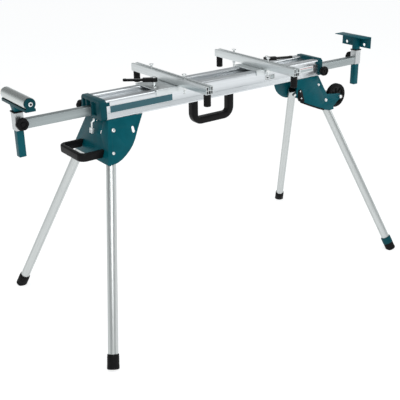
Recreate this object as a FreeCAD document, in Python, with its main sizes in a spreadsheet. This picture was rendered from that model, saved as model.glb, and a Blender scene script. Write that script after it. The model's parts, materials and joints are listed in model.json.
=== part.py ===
"""Folding stand for a mitre saw, built as a parametric document.

+X runs along the beam to the wheeled end, +Y away from the label side, +Z up.
The origin is on the floor under the middle of the beam. Lengths are millimetres.
"""
import FreeCAD, Part
import Sketcher
import math
import os
import re
from FreeCAD import Placement, Rotation, Vector

doc = FreeCAD.newDocument("saw_stand")
sheet = doc.addObject("Spreadsheet::Sheet", "dims")

SIZES = {
    # extruded beam: two rails on top, a tunnel for each extension tube below
    "beam_length": 1000, "beam_half_width": 65, "beam_bottom": 749, "beam_top": 815,
    "lip": 1.5, "lip_height": 6, "rail_inner": 31, "rail_round": 7, "channel_floor": 803,
    "groove_y": 18, "groove_width": 5, "groove_depth": 1.8, "beam_wall": 3.2,
    "label_low": 769, "label_high": 797, "label_recess": 1.8, "label_thick": 1.2,
    "label_start": 486, "label_end": 229, "info_start": 398, "info_end": 472,
    "guide_start": 209, "guide_end": 261,
    # end caps
    "cap_thick": 22, "cap_over": 3, "cap_corner": 9, "cap_tab": 12, "cap_pocket": 9,
    # extension tubes, sockets and posts
    "tube_y": 17, "tube_width": 28, "tube_height": 30, "tube_low": 754, "tube_wall": 2.5,
    "tube_play": 0.5, "tube_reach": 120, "glide_length": 16, "glide_play": 0.3,
    "post_x": 780, "post_size": 24, "post_wall": 2, "post_play": 0.5, "post_foot": 661,
    "socket_size": 30, "socket_low": 752, "socket_high": 812, "collar_size": 34, "collar_thick": 4,
    # clamping knobs
    "knob_radius": 21, "knob_thick": 18, "knob_hub": 10, "knob_hub_length": 6,
    "knob_flute": 7, "knob_flutes": 6, "screw_radius": 4, "screw_hole": 4.08, "screw_gap": 0.4,
    "post_knob_z": 778, "tube_knob_z": 771,
    # roller support on the left
    "roller_y": -2.5, "roller_half": 88, "roller_radius": 20, "roller_wall": 2, "roller_z": 861,
    "cradle_half_width": 17, "cradle_low": 836, "sheet": 3, "cradle_half": 92.5, "cradle_lip": 6,
    "ear_radius": 18.5, "axle_radius": 4, "axle_hole": 4.06, "gusset_low": 818, "gusset_half": 20,
    # stop plate on the right
    "stop_y": -6, "stop_half": 81, "stop_low": 825, "stop_top": 875, "stop_thick": 2.5,
    "stop_flange": 50, "stop_hole_radius": 6.5, "stop_hole_spacing": 100, "stop_hole_shift": 4.6,
    "stop_bolt_head": 5.5,
    # saw arms, their feet, bolts and clamps
    "arm_left_x": -196, "arm_right_x": 211, "arm_half_width": 14.5, "arm_half_length": 239,
    "arm_low": 822, "arm_top": 850, "arm_slot": 4.5, "arm_wall": 2, "arm_web": 836,
    "arm_foot_radius": 13, "arm_foot_low": 778, "arm_foot_y": 225,
    "bolt_radius": 4, "bolt_low": 794, "bolt_top": 866, "bolt_front_left": -91,
    "bolt_rear_left": 119, "bolt_front_right": -78, "bolt_rear_right": 130,
    "base_play": 0.3, "base_deck": 4.5, "base_inner": 163, "base_outer": 300, "base_lip": 15,
    "stud_x": 268, "stud_y": -6, "lever_low": 834.5, "lever_thick": 13, "lever_hub": 13,
    "lever_length": 104, "lever_root": 40, "lever_blade": 7,
    # leg brackets: folded sheet, side and end faces lean outwards
    "slope_side": 0.421, "slope_end": 0.303, "bracket_half": 70.5, "bracket_low": 612,
    "bracket_sheet": 2.5, "bracket_inner": 355, "window_radius": 5.5,
    # legs
    "leg_inset_side": 22.2, "leg_inset_end": 23, "pivot_left": 708, "pivot_right": 645,
    "leg_radius": 17, "leg_wall": 1.8, "leg_groove": 0.8, "leg_grooves": 8,
    "pivot_radius": 5, "pivot_hole": 5.06, "plug_half": 17, "plug_reach": 45, "pivot_bolt_length": 44,
    "bush_radius": 10, "leg_top": 14, "leg_swing": 17.4,
    "foot_radius": 21, "foot_length": 50, "foot_sole": 12, "foot_lift": 0, "foot_play": 0.3,
    "leveller_length": 30, "foot_short": 32,
    # handles, wheels and latch
    "carry_left": -106, "carry_right": 93, "carry_low": 638, "carry_strap": 27, "carry_half": 16,
    "carry_round": 45, "carry_inner_round": 12,
    "grip_front": -88, "grip_rear": 77, "grip_reach": 622, "grip_strap": 17, "grip_height": 28,
    "grip_round": 27, "grip_inner_round": 11, "grip_low": 628,
    "wheel_x": 591, "wheel_z": 655, "wheel_radius": 50, "wheel_outer": 97, "wheel_width": 24,
    "wheel_bore": 6.08, "wheel_axle": 6, "axle_half": 116, "tongue_radius": 11,
    "latch_y": -9, "latch_pivot_x": 515, "latch_pivot_z": 741, "latch_rod": 3.5, "latch_pin_radius": 2.5,
}

for row, (word, number) in enumerate(SIZES.items(), start=1):
    sheet.set(f"A{row}", word)
    sheet.set(f"B{row}", str(number))
    sheet.setAlias(f"B{row}", word)
doc.recompute()

parts = {}


def cells(text):
    """The expression with dims. put before each name that is a cell of the sheet."""
    return re.sub(r"[a-z_]+", lambda word: ("dims." if word.group() in SIZES else "") + word.group(), text)


def value(text):
    """The expression's number, for placements and for choosing edges."""
    return float(sheet.evalExpression(cells(text)))


def bind(thing, **expressions):
    for name, text in expressions.items():
        thing.setExpression(name.replace("__", "."), cells(text))


def place(thing, x, y, z):
    bind(thing, Placement__Base__x=x, Placement__Base__y=y, Placement__Base__z=z)


def keep(node, thing):
    """Make a document object the sub-part of that name."""
    thing.Label = node
    parts[node] = thing
    return thing


# ---- primitives and booleans --------------------------------------------------------------------

def box(name, x, y, z):
    """A block between two expressions on each axis."""
    block = doc.addObject("Part::Box", name)
    bind(block, Length=f"({x[1]}) - ({x[0]})", Width=f"({y[1]}) - ({y[0]})", Height=f"({z[1]}) - ({z[0]})")
    place(block, x[0], y[0], z[0])
    return block


TURN_TO = {"x": Rotation(Vector(0, 1, 0), 90), "y": Rotation(Vector(1, 0, 0), -90), "z": Rotation()}


def rod(name, axis, radius, x, y, z):
    """A cylinder along one axis, whose coordinate there is a pair of ends."""
    ends = {"x": x, "y": y, "z": z}
    bar = doc.addObject("Part::Cylinder", name)
    bar.Placement = Placement(Vector(), TURN_TO[axis])
    bind(bar, Radius=radius, Height=f"({ends[axis][1]}) - ({ends[axis][0]})")
    ends[axis] = ends[axis][0]
    place(bar, ends["x"], ends["y"], ends["z"])
    return bar


def taper(name, low_radius, high_radius, x, y, z):
    """A cone frustum standing along Z between a pair of heights."""
    cone = doc.addObject("Part::Cone", name)
    bind(cone, Radius1=low_radius, Radius2=high_radius, Height=f"({z[1]}) - ({z[0]})")
    place(cone, x, y, z[0])
    return cone


def fuse(name, *shapes):
    union = doc.addObject("Part::MultiFuse", name)
    union.Shapes = list(shapes)
    union.Refine = True
    return union


def cut(name, base, *tools):
    remainder = doc.addObject("Part::Cut", name)
    remainder.Base = base
    remainder.Tool = tools[0] if len(tools) == 1 else fuse(name + "_tools", *tools)
    return remainder


def common(name, first, second):
    overlap = doc.addObject("Part::Common", name)
    overlap.Base = first
    overlap.Tool = second
    return overlap


def group(name, *solids):
    """Identical fasteners as one object of separate solids."""
    bundle = doc.addObject("Part::Compound", name)
    bundle.Links = list(solids)
    return bundle


def rounded(name, base, radius, chosen):
    """Fillets on the edges that the test picks by their middle and direction."""
    doc.recompute()
    fillet = doc.addObject("Part::Fillet", name)
    fillet.Base = base
    size = value(radius)
    fillet.Edges = [(number, size, size) for number in picked(base.Shape, chosen)]
    return fillet


def picked(shape, chosen):
    return [number for number, edge in enumerate(shape.Edges, start=1)
            if chosen(edge.CenterOfMass, edge.BoundBox)]


def along_y(bounds):
    return bounds.XLength < 0.01 and bounds.ZLength < 0.01 and bounds.YLength > 1


# ---- sketched bodies ----------------------------------------------------------------------------

def sketch_on(body, plane, offset="0"):
    """A sketch on one of the body's own origin planes, moved along its normal."""
    sketch = body.newObject("Sketcher::SketchObject", body.Name + "_sketch")
    plane_of = {feature.Role: feature for feature in body.Origin.OriginFeatures}
    sketch.AttachmentSupport = [(plane_of[plane], "")]
    sketch.MapMode = "FlatFace"
    bind(sketch, AttachmentOffset__Base__z=offset)
    return sketch


def draw_loop(sketch, corners):
    """A closed polygon; each corner's two distances from the origin are expressions."""
    points = [Vector(value(across), value(up), 0) for across, up in corners]
    first = sketch.GeometryCount
    for number, point in enumerate(points):
        sketch.addGeometry(Part.LineSegment(point, points[(number + 1) % len(points)]), False)
    for number in range(len(points)):
        following = first + (number + 1) % len(points)
        sketch.addConstraint(Sketcher.Constraint("Coincident", first + number, 2, following, 1))
    for number, (across, up) in enumerate(corners):
        for kind, text, size in (("DistanceX", across, points[number].x), ("DistanceY", up, points[number].y)):
            index = sketch.addConstraint(Sketcher.Constraint(kind, -1, 1, first + number, 1, size))
            sketch.setExpression(f"Constraints[{index}]", cells(text))


def draw_circle(sketch, radius, across="0", up="0"):
    centre = Vector(value(across), value(up), 0)
    index = sketch.addGeometry(Part.Circle(centre, Vector(0, 0, 1), value(radius)), False)
    for kind, text in (("DistanceX", across), ("DistanceY", up)):
        number = sketch.addConstraint(Sketcher.Constraint(kind, -1, 1, index, 3, value(text)))
        sketch.setExpression(f"Constraints[{number}]", cells(text))
    number = sketch.addConstraint(Sketcher.Constraint("Radius", index, value(radius)))
    sketch.setExpression(f"Constraints[{number}]", cells(radius))


def pad(body, sketch, length):
    feature = body.newObject("PartDesign::Pad", body.Name + "_pad")
    feature.Profile = sketch
    bind(feature, Length=length)
    sketch.Visibility = False
    body.Tip = feature
    return feature


def profile(name, plane, loops, low, high):
    """A body whose section is drawn on a plane and pushed from low to high along its normal."""
    body = doc.addObject("PartDesign::Body", name)
    facing = "-1" if plane == "XZ_Plane" else "1"
    start = high if plane == "XZ_Plane" else low
    sketch = sketch_on(body, plane, f"{facing} * ({start})")
    for corners in loops:
        draw_loop(sketch, corners)
    pad(body, sketch, f"({high}) - ({low})")
    return body


def rectangle(left, right, low, high):
    return [(left, low), (right, low), (right, high), (left, high)]


def mirrored(half):
    """A half outline, from the bottom to the top, closed by its mirror image."""
    return half + [(f"-({across})", up) for across, up in reversed(half)]


# ---- beam, caps and labels ----------------------------------------------------------------------

def make_beam():
    outline = mirrored([
        ("beam_half_width + lip", "beam_bottom"),
        ("beam_half_width + lip", "beam_bottom + lip_height"),
        ("beam_half_width", "beam_bottom + lip_height"),
        ("beam_half_width", "label_low"),
        ("beam_half_width - label_recess", "label_low"),
        ("beam_half_width - label_recess", "label_high"),
        ("beam_half_width", "label_high"),
        ("beam_half_width", "beam_top"),
        ("rail_inner", "beam_top"),
        ("rail_inner", "channel_floor"),
        ("groove_y + groove_width / 2", "channel_floor"),
        ("groove_y + groove_width / 2", "channel_floor - groove_depth"),
        ("groove_y - groove_width / 2", "channel_floor - groove_depth"),
        ("groove_y - groove_width / 2", "channel_floor"),
        ("groove_width", "channel_floor"),
        ("groove_width", "channel_floor - groove_depth"),
    ])
    tunnel_low, tunnel_high = "tube_low - tube_play", "tube_low + tube_height + tube_play"
    near, far = "tube_y - tube_width / 2 - tube_play", "tube_y + tube_width / 2 + tube_play"
    rail_near, rail_far = "rail_inner + beam_wall", "beam_half_width - beam_wall - 0.3"
    rail_top = "beam_top - 5"
    holes = [
        rectangle(near, far, tunnel_low, tunnel_high),
        rectangle(f"-({far})", f"-({near})", tunnel_low, tunnel_high),
        rectangle(rail_near, rail_far, tunnel_low, rail_top),
        rectangle(f"-({rail_far})", f"-({rail_near})", tunnel_low, rail_top),
        rectangle("-rail_inner", "rail_inner", "tube_low + tube_height + 4", "channel_floor - 3.5"),
    ]
    body = profile("beam", "YZ_Plane", [outline] + holes, "-beam_length / 2", "beam_length / 2")
    doc.recompute()
    top, extrusion = value("beam_top"), body.Tip
    edges = picked(body.Shape, lambda middle, bounds: bounds.XLength > 100 and abs(middle.z - top) < 0.01)
    fillet = body.newObject("PartDesign::Fillet", "beam_rail_round")
    fillet.Base = (extrusion, [f"Edge{number}" for number in edges])
    bind(fillet, Radius="rail_round")
    body.Tip = fillet
    keep("beam_extrusion", body)


def make_end_cap(word, side):
    """Moulded cap with the tube's opening, weight pockets and tabs over the beam's corners."""
    half, low, high = "(beam_half_width + cap_over)", "beam_bottom", "beam_top + cap_over"
    tube_low, tube_high = "tube_low - tube_play", "tube_low + tube_height + tube_play"
    tube_left = f"{-side} * tube_y - tube_width / 2 - tube_play"
    tube_right = f"{-side} * tube_y + tube_width / 2 + tube_play"
    outline = mirrored([
        (f"{half} - 4", low), (half, f"{low} + 4"),
        (half, f"{high} - cap_corner"), (f"{half} - cap_corner", high),
    ])
    ends = ("beam_length / 2", "beam_length / 2 + cap_thick")
    if side < 0:
        ends = (f"-({ends[1]})", f"-({ends[0]})")
    shell = profile(f"cap_{word}", "YZ_Plane", [outline, rectangle(tube_left, tube_right, tube_low, tube_high)],
                    *ends)
    face = f"{side} * (beam_length / 2 + cap_thick)"
    depth = (f"{face} - cap_pocket", f"{face} + 1") if side > 0 else (f"{face} - 1", f"{face} + cap_pocket")
    across = -side
    pocket_spans = ((-36, -4), (38, 58)) if across > 0 else ((4, 36), (-58, -38))
    pockets = [box(f"cap_{word}_pocket_{number}", depth, (str(near), str(far)), ("beam_bottom + 12", "beam_top - 10"))
               for number, (near, far) in enumerate(pocket_spans)]
    pockets.append(box(f"cap_{word}_window", depth, (tube_left, tube_right), (tube_high, "beam_top - 10")))
    knob_x, wall = f"{side} * (beam_length / 2 + cap_thick / 2)", f"{across} * {half}"
    outer = f"{wall} + {4 * across}"
    screw = rod(f"cap_{word}_screw_hole", "y", "screw_hole", knob_x,
                ordered(f"{across} * tube_y", f"{across} * 90", across), "tube_knob_z")
    boss = rod(f"cap_{word}_boss", "y", "knob_hub + 2", knob_x, ordered(f"{wall} - {2 * across}", outer, across),
               "tube_knob_z")
    inner = f"{side} * (beam_length / 2 - cap_tab)"
    tabs = []
    for number, lean in enumerate((-1, 1)):
        skin = ordered(f"{lean} * (beam_half_width + 0.2)", f"{lean} * {half}", lean)
        tabs.append(box(f"cap_{word}_tab_{number}", ordered(inner, f"{side} * (beam_length / 2 + 1)", side), skin,
                        ("beam_top - 18", "beam_top - 6")))
    body = fuse(f"cap_{word}_body", shell, boss, *tabs)
    keep(f"end_cap_{word}", cut(f"cap_{word}_cut", body, screw, *pockets))


def ordered(near, far, sign):
    """Two ends of a span in rising order, for a span that grows with the sign."""
    return (near, far) if sign > 0 else (far, near)


def make_labels():
    """Blank plates in the front recess: a long strip, an information plate and a small guide plate."""
    skin = ("-(beam_half_width - label_recess + label_thick)", "-(beam_half_width - label_recess)")
    tall = ("label_low + 1", "label_high - 1")
    strip = box("label_strip", ("-label_start", "-label_end"), skin, tall)
    info = box("label_info", ("info_start", "info_end"), skin, ("label_low + 3", "label_high - 2"))
    guide = box("label_guide", ("guide_start", "guide_end"), skin, ("label_low + 4", "label_high - 4"))
    keep("label_plates", group("labels", strip, info, guide))


# ---- leg brackets -------------------------------------------------------------------------------

def lean(base, slope, z):
    """How far out a leaning face stands at a height."""
    return f"({base} + {slope} * (beam_bottom - ({z})))"


def bracket_wedge(name, side, inner, side_inset, end_inset, end_slope="slope_end"):
    """A frustum under the beam: side faces lean outwards, the end face too, the inner face is upright."""
    wedge = doc.addObject("Part::Wedge", name)
    wedge.Placement = Placement(Vector(), Rotation(Vector(1, 0, 0), 90))
    depth = "(beam_bottom - bracket_low)"
    top_half = f"(bracket_half - {side_inset})"
    low_half = f"({top_half} + slope_side * {depth})"
    top_end, low_end = f"(beam_length / 2 - {end_inset})", f"(beam_length / 2 - {end_inset} + {end_slope} * {depth})"
    spans = {"Xmin": inner, "Xmax": low_end, "X2min": inner, "X2max": top_end}
    if side < 0:
        spans = {"Xmin": f"-{low_end}", "Xmax": f"-{inner}", "X2min": f"-{top_end}", "X2max": f"-{inner}"}
    bind(wedge, Ymin="0", Ymax=depth, Zmin=f"-{low_half}", Zmax=low_half, Z2min=f"-{top_half}", Z2max=top_half,
         Placement__Base__z="bracket_low", **spans)
    return wedge


# Outlines of the side plates as distance from the middle and height: three of them run in a slanted
# straight edge and then round to the foot of the bracket, the right front one reaches further in.
PLATE_OUTLINE = (("362", "beam_bottom"), ("378", "728"), ("394", "706"), ("405", "690"), ("416", "674"), ("430", "658"),
                 ("446", "644"), ("464", "632"), ("484", "621"), ("504", "614"), ("520", "bracket_low"),
                 ("545", "bracket_low"), ("545", "beam_bottom"))
LONG_PLATE_OUTLINE = (("383", "beam_bottom"), ("373", "729"), ("361", "705"), ("356", "694"), ("355.5", "687"),
                      ("359", "681"), ("366", "674"), ("366", "668"), ("415", "646.5"), ("455", "630"), ("484", "619"),
                      ("512", "613"), ("522", "bracket_low"), ("545", "bracket_low"), ("545", "beam_bottom"))


def make_bracket(word, side):
    """Folded sheet: two side plates cut round at the bottom and an end plate joining them."""
    side_skin, end_skin = "bracket_sheet * 1.085", "bracket_sheet * 1.045"
    outer = bracket_wedge(f"bracket_{word}_outer", side, "bracket_inner", "0", "0")
    side_core = bracket_wedge(f"bracket_{word}_side_core", side, "(bracket_inner - 5)", side_skin, "-60", "0")
    end_core = bracket_wedge(f"bracket_{word}_end_core", side, "(bracket_inner - 5)", "-5", end_skin)
    plain = [(f"{side} * ({across})", up) for across, up in PLATE_OUTLINE]
    if side < 0:
        silhouette = profile("bracket_left_shape", "XZ_Plane", [plain], "-150", "150")
    else:
        long = [(across, up) for across, up in LONG_PLATE_OUTLINE]
        silhouette = fuse("bracket_right_shape", profile("bracket_rear_shape", "XZ_Plane", [plain], "0", "150"),
                          profile("bracket_front_shape", "XZ_Plane", [long], "-150", "0"))
    sides = cut(f"bracket_{word}_sides", common(f"bracket_{word}_trimmed", outer, silhouette), side_core)
    end = cut(f"bracket_{word}_end", outer, end_core)
    seat = box(f"bracket_{word}_seat", ordered(f"{side} * 385", f"{side} * (beam_length / 2 - 1)", side),
               ("-(bracket_half - 1)", "bracket_half - 1"), ("beam_bottom - bracket_sheet", "beam_bottom"))
    pieces = [sides, end, seat] + [latch_lug(number, y) for number, y in enumerate(("latch_y - 11", "latch_y + 9"))
                            if side < 0]
    if side > 0:
        pieces.append(make_wheel_tongues(side_skin))
    body = fuse(f"bracket_{word}_body", *pieces)
    tools = [bolt_tool(f"bracket_{word}_hole_{number}", leg_frame(side, front, height), radius)
             for number, (front, (height, radius)) in enumerate(
                 (front, hole) for front in (-1, 1) for hole in bracket_holes(side))]
    if side < 0:
        tools += [rod(f"bracket_window_{height}", "y", "window_radius", "-414", ("-150", "-60"), height)
                  for height in ("700", "711")]
        tools.append(box("bracket_window_middle", ("-414 - window_radius", "-414 + window_radius"), ("-150", "-60"),
                         ("700", "711")))
        tools.append(box("bracket_latch_slot", ("-540", "-498"), ("-43", "-36"), ("698", "738")))
        tools.append(rod("latch_pin_hole", "y", "latch_pin_radius + 0.06", "-latch_pivot_x",
                         ("latch_y - 16", "latch_y + 16"), "latch_pivot_z"))
    if side > 0:
        tools += [bolt_tool(f"bracket_small_hole_{x}", plate_frame(x, height), "2.5") for x, height in SMALL_RIVETS]
        tools.append(rod("bracket_axle_hole", "y", "wheel_axle", "wheel_x", ("-150", "150"), "wheel_z"))
    keep(f"leg_bracket_{word}", cut(f"bracket_{word}_done", body, *tools))


def make_wheel_tongues(side_skin):
    """The two side plates run on past the end face and carry the wheel axle."""
    depth = "(beam_bottom - bracket_low)"
    slabs = []
    for name, inset in (("tongue_outer", "0"), ("tongue_core", side_skin)):
        wedge = doc.addObject("Part::Wedge", name)
        wedge.Placement = Placement(Vector(), Rotation(Vector(1, 0, 0), 90))
        top_half, low_half = f"(bracket_half - {inset})", f"(bracket_half - {inset} + slope_side * {depth})"
        bind(wedge, Xmin="505", Xmax="615", X2min="505", X2max="615", Ymin="0", Ymax=depth,
             Zmin=f"-{low_half}", Zmax=low_half, Z2min=f"-{top_half}", Z2max=top_half,
             Placement__Base__z="bracket_low")
        slabs.append(wedge)
    nose = rod("tongue_nose", "y", "tongue_radius", "wheel_x", ("-150", "150"), "wheel_z")
    web = profile("tongue_web", "XZ_Plane", [[
        ("515", "675"), ("wheel_x - 1", "wheel_z + tongue_radius"), ("wheel_x + 9", "wheel_z - 6"),
        ("wheel_x - 5", "645"), ("wheel_x - 20", "638"), ("556", "629"), ("544", "624"),
        ("540", "bracket_low"), ("515", "bracket_low"),
    ]], "-150", "150")
    outline = fuse("tongue_outline", nose, web)
    return common("wheel_tongues", cut("tongue_plates", *slabs), outline)


def latch_lug(number, y):
    """A small lug on the end plate that holds the latch's pin."""
    return box(f"latch_lug_{number}", ("-(latch_pivot_x + 6)", "-(beam_length / 2 + 2)"), (y, f"{y} + 3"),
               ("latch_pivot_z - 6", "latch_pivot_z + 6"))


SMALL_RIVETS = (("381", "706"), ("378", "680"))    # x and height on the right bracket's front plate


def bracket_holes(side):
    """Pairs of height and radius: the leg's pivot and one rivet, both on the leg's centre line."""
    pivot, other = ("pivot_left", "638") if side < 0 else ("pivot_right", "708")
    return (pivot, "pivot_radius"), (other, "3")


def leg_frame(side, front, height):
    """Origin on the leg's centre line at a height; local Z up the leg, local Y out of the side plate."""
    slope_end, slope_side = value("slope_end"), value("slope_side")
    drop = value("beam_bottom") - value(height)
    x = side * (value("beam_length / 2 - leg_inset_end") + slope_end * drop)
    y = front * (value("bracket_half - leg_inset_side") + slope_side * drop)
    up = Vector(-side * slope_end, -front * slope_side, 1)
    out = Vector(0, front, slope_side)
    up.normalize()
    out.normalize()
    return Placement(Vector(x, y, value(height)), Rotation(out.cross(up), out, up, "ZYX"))


def plate_frame(x, height):
    """Origin on the front plate's outer face; local Y out of the plate."""
    tilt = math.degrees(math.atan(value("slope_side")))
    face = -value(lean("bracket_half", "slope_side", height))
    return Placement(Vector(value(x), face, value(height)), Rotation(Vector(1, 0, 0), 180 - tilt))


def bolt_tool(name, frame, radius):
    """A cylinder along the local Y of a frame, through the plate there."""
    tool = doc.addObject("Part::Cylinder", name)
    bind(tool, Radius=radius, Height="60")
    tool.Placement = frame.multiply(Placement(Vector(0, -30, 0), TURN_TO["y"]))
    return tool


def plate_distance():
    """From a leg's centre line to the outer face of the side plate."""
    return value("leg_inset_side") * math.cos(math.atan(value("slope_side")))


def button_bolt(name, radius, head, dome, shank, nut):
    """A bolt along Y with a low domed head; y = 0 is the seat under the head."""
    pieces = [
        rod(f"{name}_shank", "y", radius, "0", (f"-({shank})", "1"), "0"),
        rod(f"{name}_head", "y", head, "0", ("0", f"{dome} * 0.55"), "0"),
        rod(f"{name}_crown", "y", f"{head} * 0.72", "0", ("0", dome), "0"),
    ]
    if nut:
        pieces.append(rod(f"{name}_nut", "y", f"{radius} * 1.7", "0", (f"-({shank})", f"-({shank}) + 6"), "0"))
    return fuse(name, *pieces)


def make_bracket_bolts():
    """Four pivot bolts, and the rivets, handle bolts and small bolts of the frame."""
    pivots, rivets = [], []
    for side in (-1, 1):
        for front in (-1, 1):
            tag = f"{'lr'[side > 0]}{'fr'[front > 0]}"
            pivot, other = bracket_holes(side)
            bolt = button_bolt(f"pivot_bolt_{tag}", "pivot_radius", "7.5", "4.5", "pivot_bolt_length", True)
            bolt.Placement = leg_frame(side, front, pivot[0]).multiply(Placement(Vector(0, plate_distance(), 0),
                                                                                Rotation()))
            pivots.append(bolt)
            rivet = button_bolt(f"rivet_{tag}", "3", "6", "3.5", "bracket_sheet", False)
            rivet.Placement = leg_frame(side, front, other[0]).multiply(Placement(Vector(0, plate_distance(), 0),
                                                                                 Rotation()))
            rivets.append(rivet)
    for x, height in SMALL_RIVETS:
        rivet = button_bolt(f"small_rivet_{x}", "2.5", "4", "2.5", "bracket_sheet", False)
        rivet.Placement = plate_frame(x, height)
        rivets.append(rivet)
    keep("leg_pivot_bolts", group("pivot_bolts", *pivots))
    keep("bracket_rivets", group("rivets", *rivets))


# ---- handles ------------------------------------------------------------------------------------

def make_carry_handle():
    """Moulded U under the beam, rounded at its two lower corners."""
    body = profile("carry", "XZ_Plane", [[
        ("carry_left", "beam_bottom"), ("carry_left", "carry_low"), ("carry_right", "carry_low"),
        ("carry_right", "beam_bottom"), ("carry_right - carry_strap", "beam_bottom"),
        ("carry_right - carry_strap", "carry_low + carry_strap"),
        ("carry_left + carry_strap", "carry_low + carry_strap"), ("carry_left + carry_strap", "beam_bottom"),
    ]], "-carry_half", "carry_half")
    low, strap = value("carry_low"), value("carry_strap")
    outer = rounded("carry_outer_round", body, "carry_round",
                    lambda middle, bounds: along_y(bounds) and abs(middle.z - low) < 0.01)
    inner = rounded("carry_inner_round", outer, "carry_inner_round",
                    lambda middle, bounds: along_y(bounds) and abs(middle.z - low - strap) < 0.01
                    and not -60 < middle.x < 45)
    keep("carry_handle", inner)


def make_end_handle():
    """Level U-shaped grip whose two ends meet the leaning left end plate."""
    body = profile("grip", "XY_Plane", [[
        ("-480", "grip_front"), ("-grip_reach", "grip_front"), ("-grip_reach", "grip_rear"), ("-480", "grip_rear"),
        ("-480", "grip_rear - grip_strap"), ("-grip_reach + grip_strap", "grip_rear - grip_strap"),
        ("-grip_reach + grip_strap", "grip_front + grip_strap"), ("-480", "grip_front + grip_strap"),
    ]], "grip_low", "grip_low + grip_height")
    reach, strap = value("grip_reach"), value("grip_strap")
    outer = rounded("grip_outer_round", body, "grip_round",
                    lambda middle, bounds: bounds.ZLength > 20 and abs(middle.x + reach) < 0.01)
    inner = rounded("grip_inner_round", outer, "grip_inner_round",
                    lambda middle, bounds: bounds.ZLength > 20 and abs(middle.x + reach - strap) < 0.01
                    and bounds.XLength < 0.01 and bounds.YLength < 0.01)
    keep("end_handle", cut("grip_trimmed", inner, doc.getObject("bracket_left_outer")))


# ---- wheels and latch ---------------------------------------------------------------------------

def make_wheels():
    axle = fuse("axle", rod("axle_ends", "y", "wheel_axle", "wheel_x", ("-axle_half - 2", "axle_half + 2"), "wheel_z"),
                rod("axle_sleeve", "y", "9", "wheel_x",
                    ("-(wheel_outer - wheel_width - 1.5)", "wheel_outer - wheel_width - 1.5"), "wheel_z"),
                rod("axle_head_front", "y", "7.5", "wheel_x", ("-axle_half - 6", "-axle_half"), "wheel_z"),
                rod("axle_head_rear", "y", "7.5", "wheel_x", ("axle_half", "axle_half + 6"), "wheel_z"))
    keep("wheel_axle", axle)
    for word, front in (("front", -1), ("rear", 1)):
        span = ordered(f"{front} * (wheel_outer - wheel_width)", f"{front} * wheel_outer", front)
        disc = rod(f"wheel_{word}_disc", "y", "wheel_radius", "wheel_x", span, "wheel_z")
        radius = value("wheel_radius")
        tread = rounded(f"wheel_{word}_tread", disc, "4.5",
                        lambda middle, bounds: abs(bounds.XLength - 2 * radius) < 0.1)
        tools = [rod(f"wheel_{word}_bore", "y", "wheel_bore", "wheel_x", ("-150", "150"), "wheel_z")]
        for number, (near, far) in enumerate(((span[0], f"{span[0]} + 6"), (f"{span[1]} - 6", span[1]))):
            ring = cut(f"wheel_{word}_ring_{number}",
                       rod(f"wheel_{word}_dish_{number}", "y", "wheel_radius - 13", "wheel_x", (near, far), "wheel_z"),
                       rod(f"wheel_{word}_hub_{number}", "y", "14", "wheel_x", (near, far), "wheel_z"))
            tools.append(ring)
        keep(f"wheel_{word}", cut(f"wheel_{word}_cut", tread, *tools))


def make_latch():
    """Bent rod with a forked grip, hung on a pin between two lugs of the left end plate."""
    pivot = Vector(-value("latch_pivot_x"), value("latch_y"), value("latch_pivot_z"))
    bend, end = pivot + Vector(-13, 0, -7), pivot + Vector(-15, 0, -29)
    rods = [strut("latch_upper", pivot, bend, "latch_rod"), strut("latch_lower", bend, end, "latch_rod")]
    ball = doc.addObject("Part::Sphere", "latch_bend")
    bind(ball, Radius="latch_rod")
    ball.Placement = Placement(bend, Rotation())
    eye = rod("latch_eye", "y", "6", "-latch_pivot_x", ("latch_y - 7", "latch_y + 7"), "latch_pivot_z")
    pin = rod("latch_pin", "y", "latch_pin_radius", "-latch_pivot_x", ("latch_y - 13", "latch_y + 14"),
              "latch_pivot_z")
    fork = box("latch_fork", ("-4.5", "4.5"), ("-8.5", "8.5"), ("0", "18"))
    gap = box("latch_gap", ("-6", "6"), ("-2", "2"), ("6", "19"))
    grip = cut("latch_grip", fork, gap)
    down = end - bend
    grip.Placement = Placement(end - down.normalize() * 2, Rotation(Vector(0, 0, 1), down))
    keep("latch_hook", fuse("latch", *rods, ball, eye, pin, grip))


def strut(name, start, end, radius):
    """A cylinder from one point to another."""
    bar = doc.addObject("Part::Cylinder", name)
    bind(bar, Radius=radius)
    bar.Height = (end - start).Length
    bar.Placement = Placement(start, Rotation(Vector(0, 0, 1), end - start))
    return bar


# ---- extensions ---------------------------------------------------------------------------------

def make_knob(node, radius_scale, screw_length, position, outwards):
    """Fluted knob with a hub and a clamping screw; local Z points out of the object."""
    body = doc.addObject("PartDesign::Body", node + "_body")
    pad(body, circle_sketch(body, f"knob_radius * {radius_scale}"), "knob_thick")
    flute = sketch_on(body, "XY_Plane")
    draw_circle(flute, "knob_flute", f"knob_radius * {radius_scale} + knob_flute - 2.5")
    pocket = body.newObject("PartDesign::Pocket", node + "_flute")
    pocket.Profile = flute
    pocket.Type = "ThroughAll"
    pocket.Reversed = True
    flute.Visibility = False
    pattern = body.newObject("PartDesign::PolarPattern", node + "_flutes")
    pattern.Originals = [pocket]
    pattern.Axis = (flute, ["N_Axis"])
    pattern.Angle = 360
    bind(pattern, Occurrences="knob_flutes")
    body.Tip = pattern
    hub = rod(node + "_hub", "z", "knob_hub", "0", "0", ("-knob_hub_length", "3"))
    screw = rod(node + "_screw", "z", "screw_radius", "0", "0", (f"-knob_hub_length - {screw_length}", "0"))
    cap = taper(node + "_cap", "knob_hub + 2", "knob_hub - 2", "0", "0", ("knob_thick - 1", "knob_thick + 3"))
    knob = fuse(node + "_knob", body, hub, screw, cap)
    knob.Placement = Placement(position, Rotation(Vector(0, 0, 1), outwards))
    keep(node, knob)


def circle_sketch(body, radius):
    sketch = sketch_on(body, "XY_Plane")
    draw_circle(sketch, radius)
    return sketch


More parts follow.
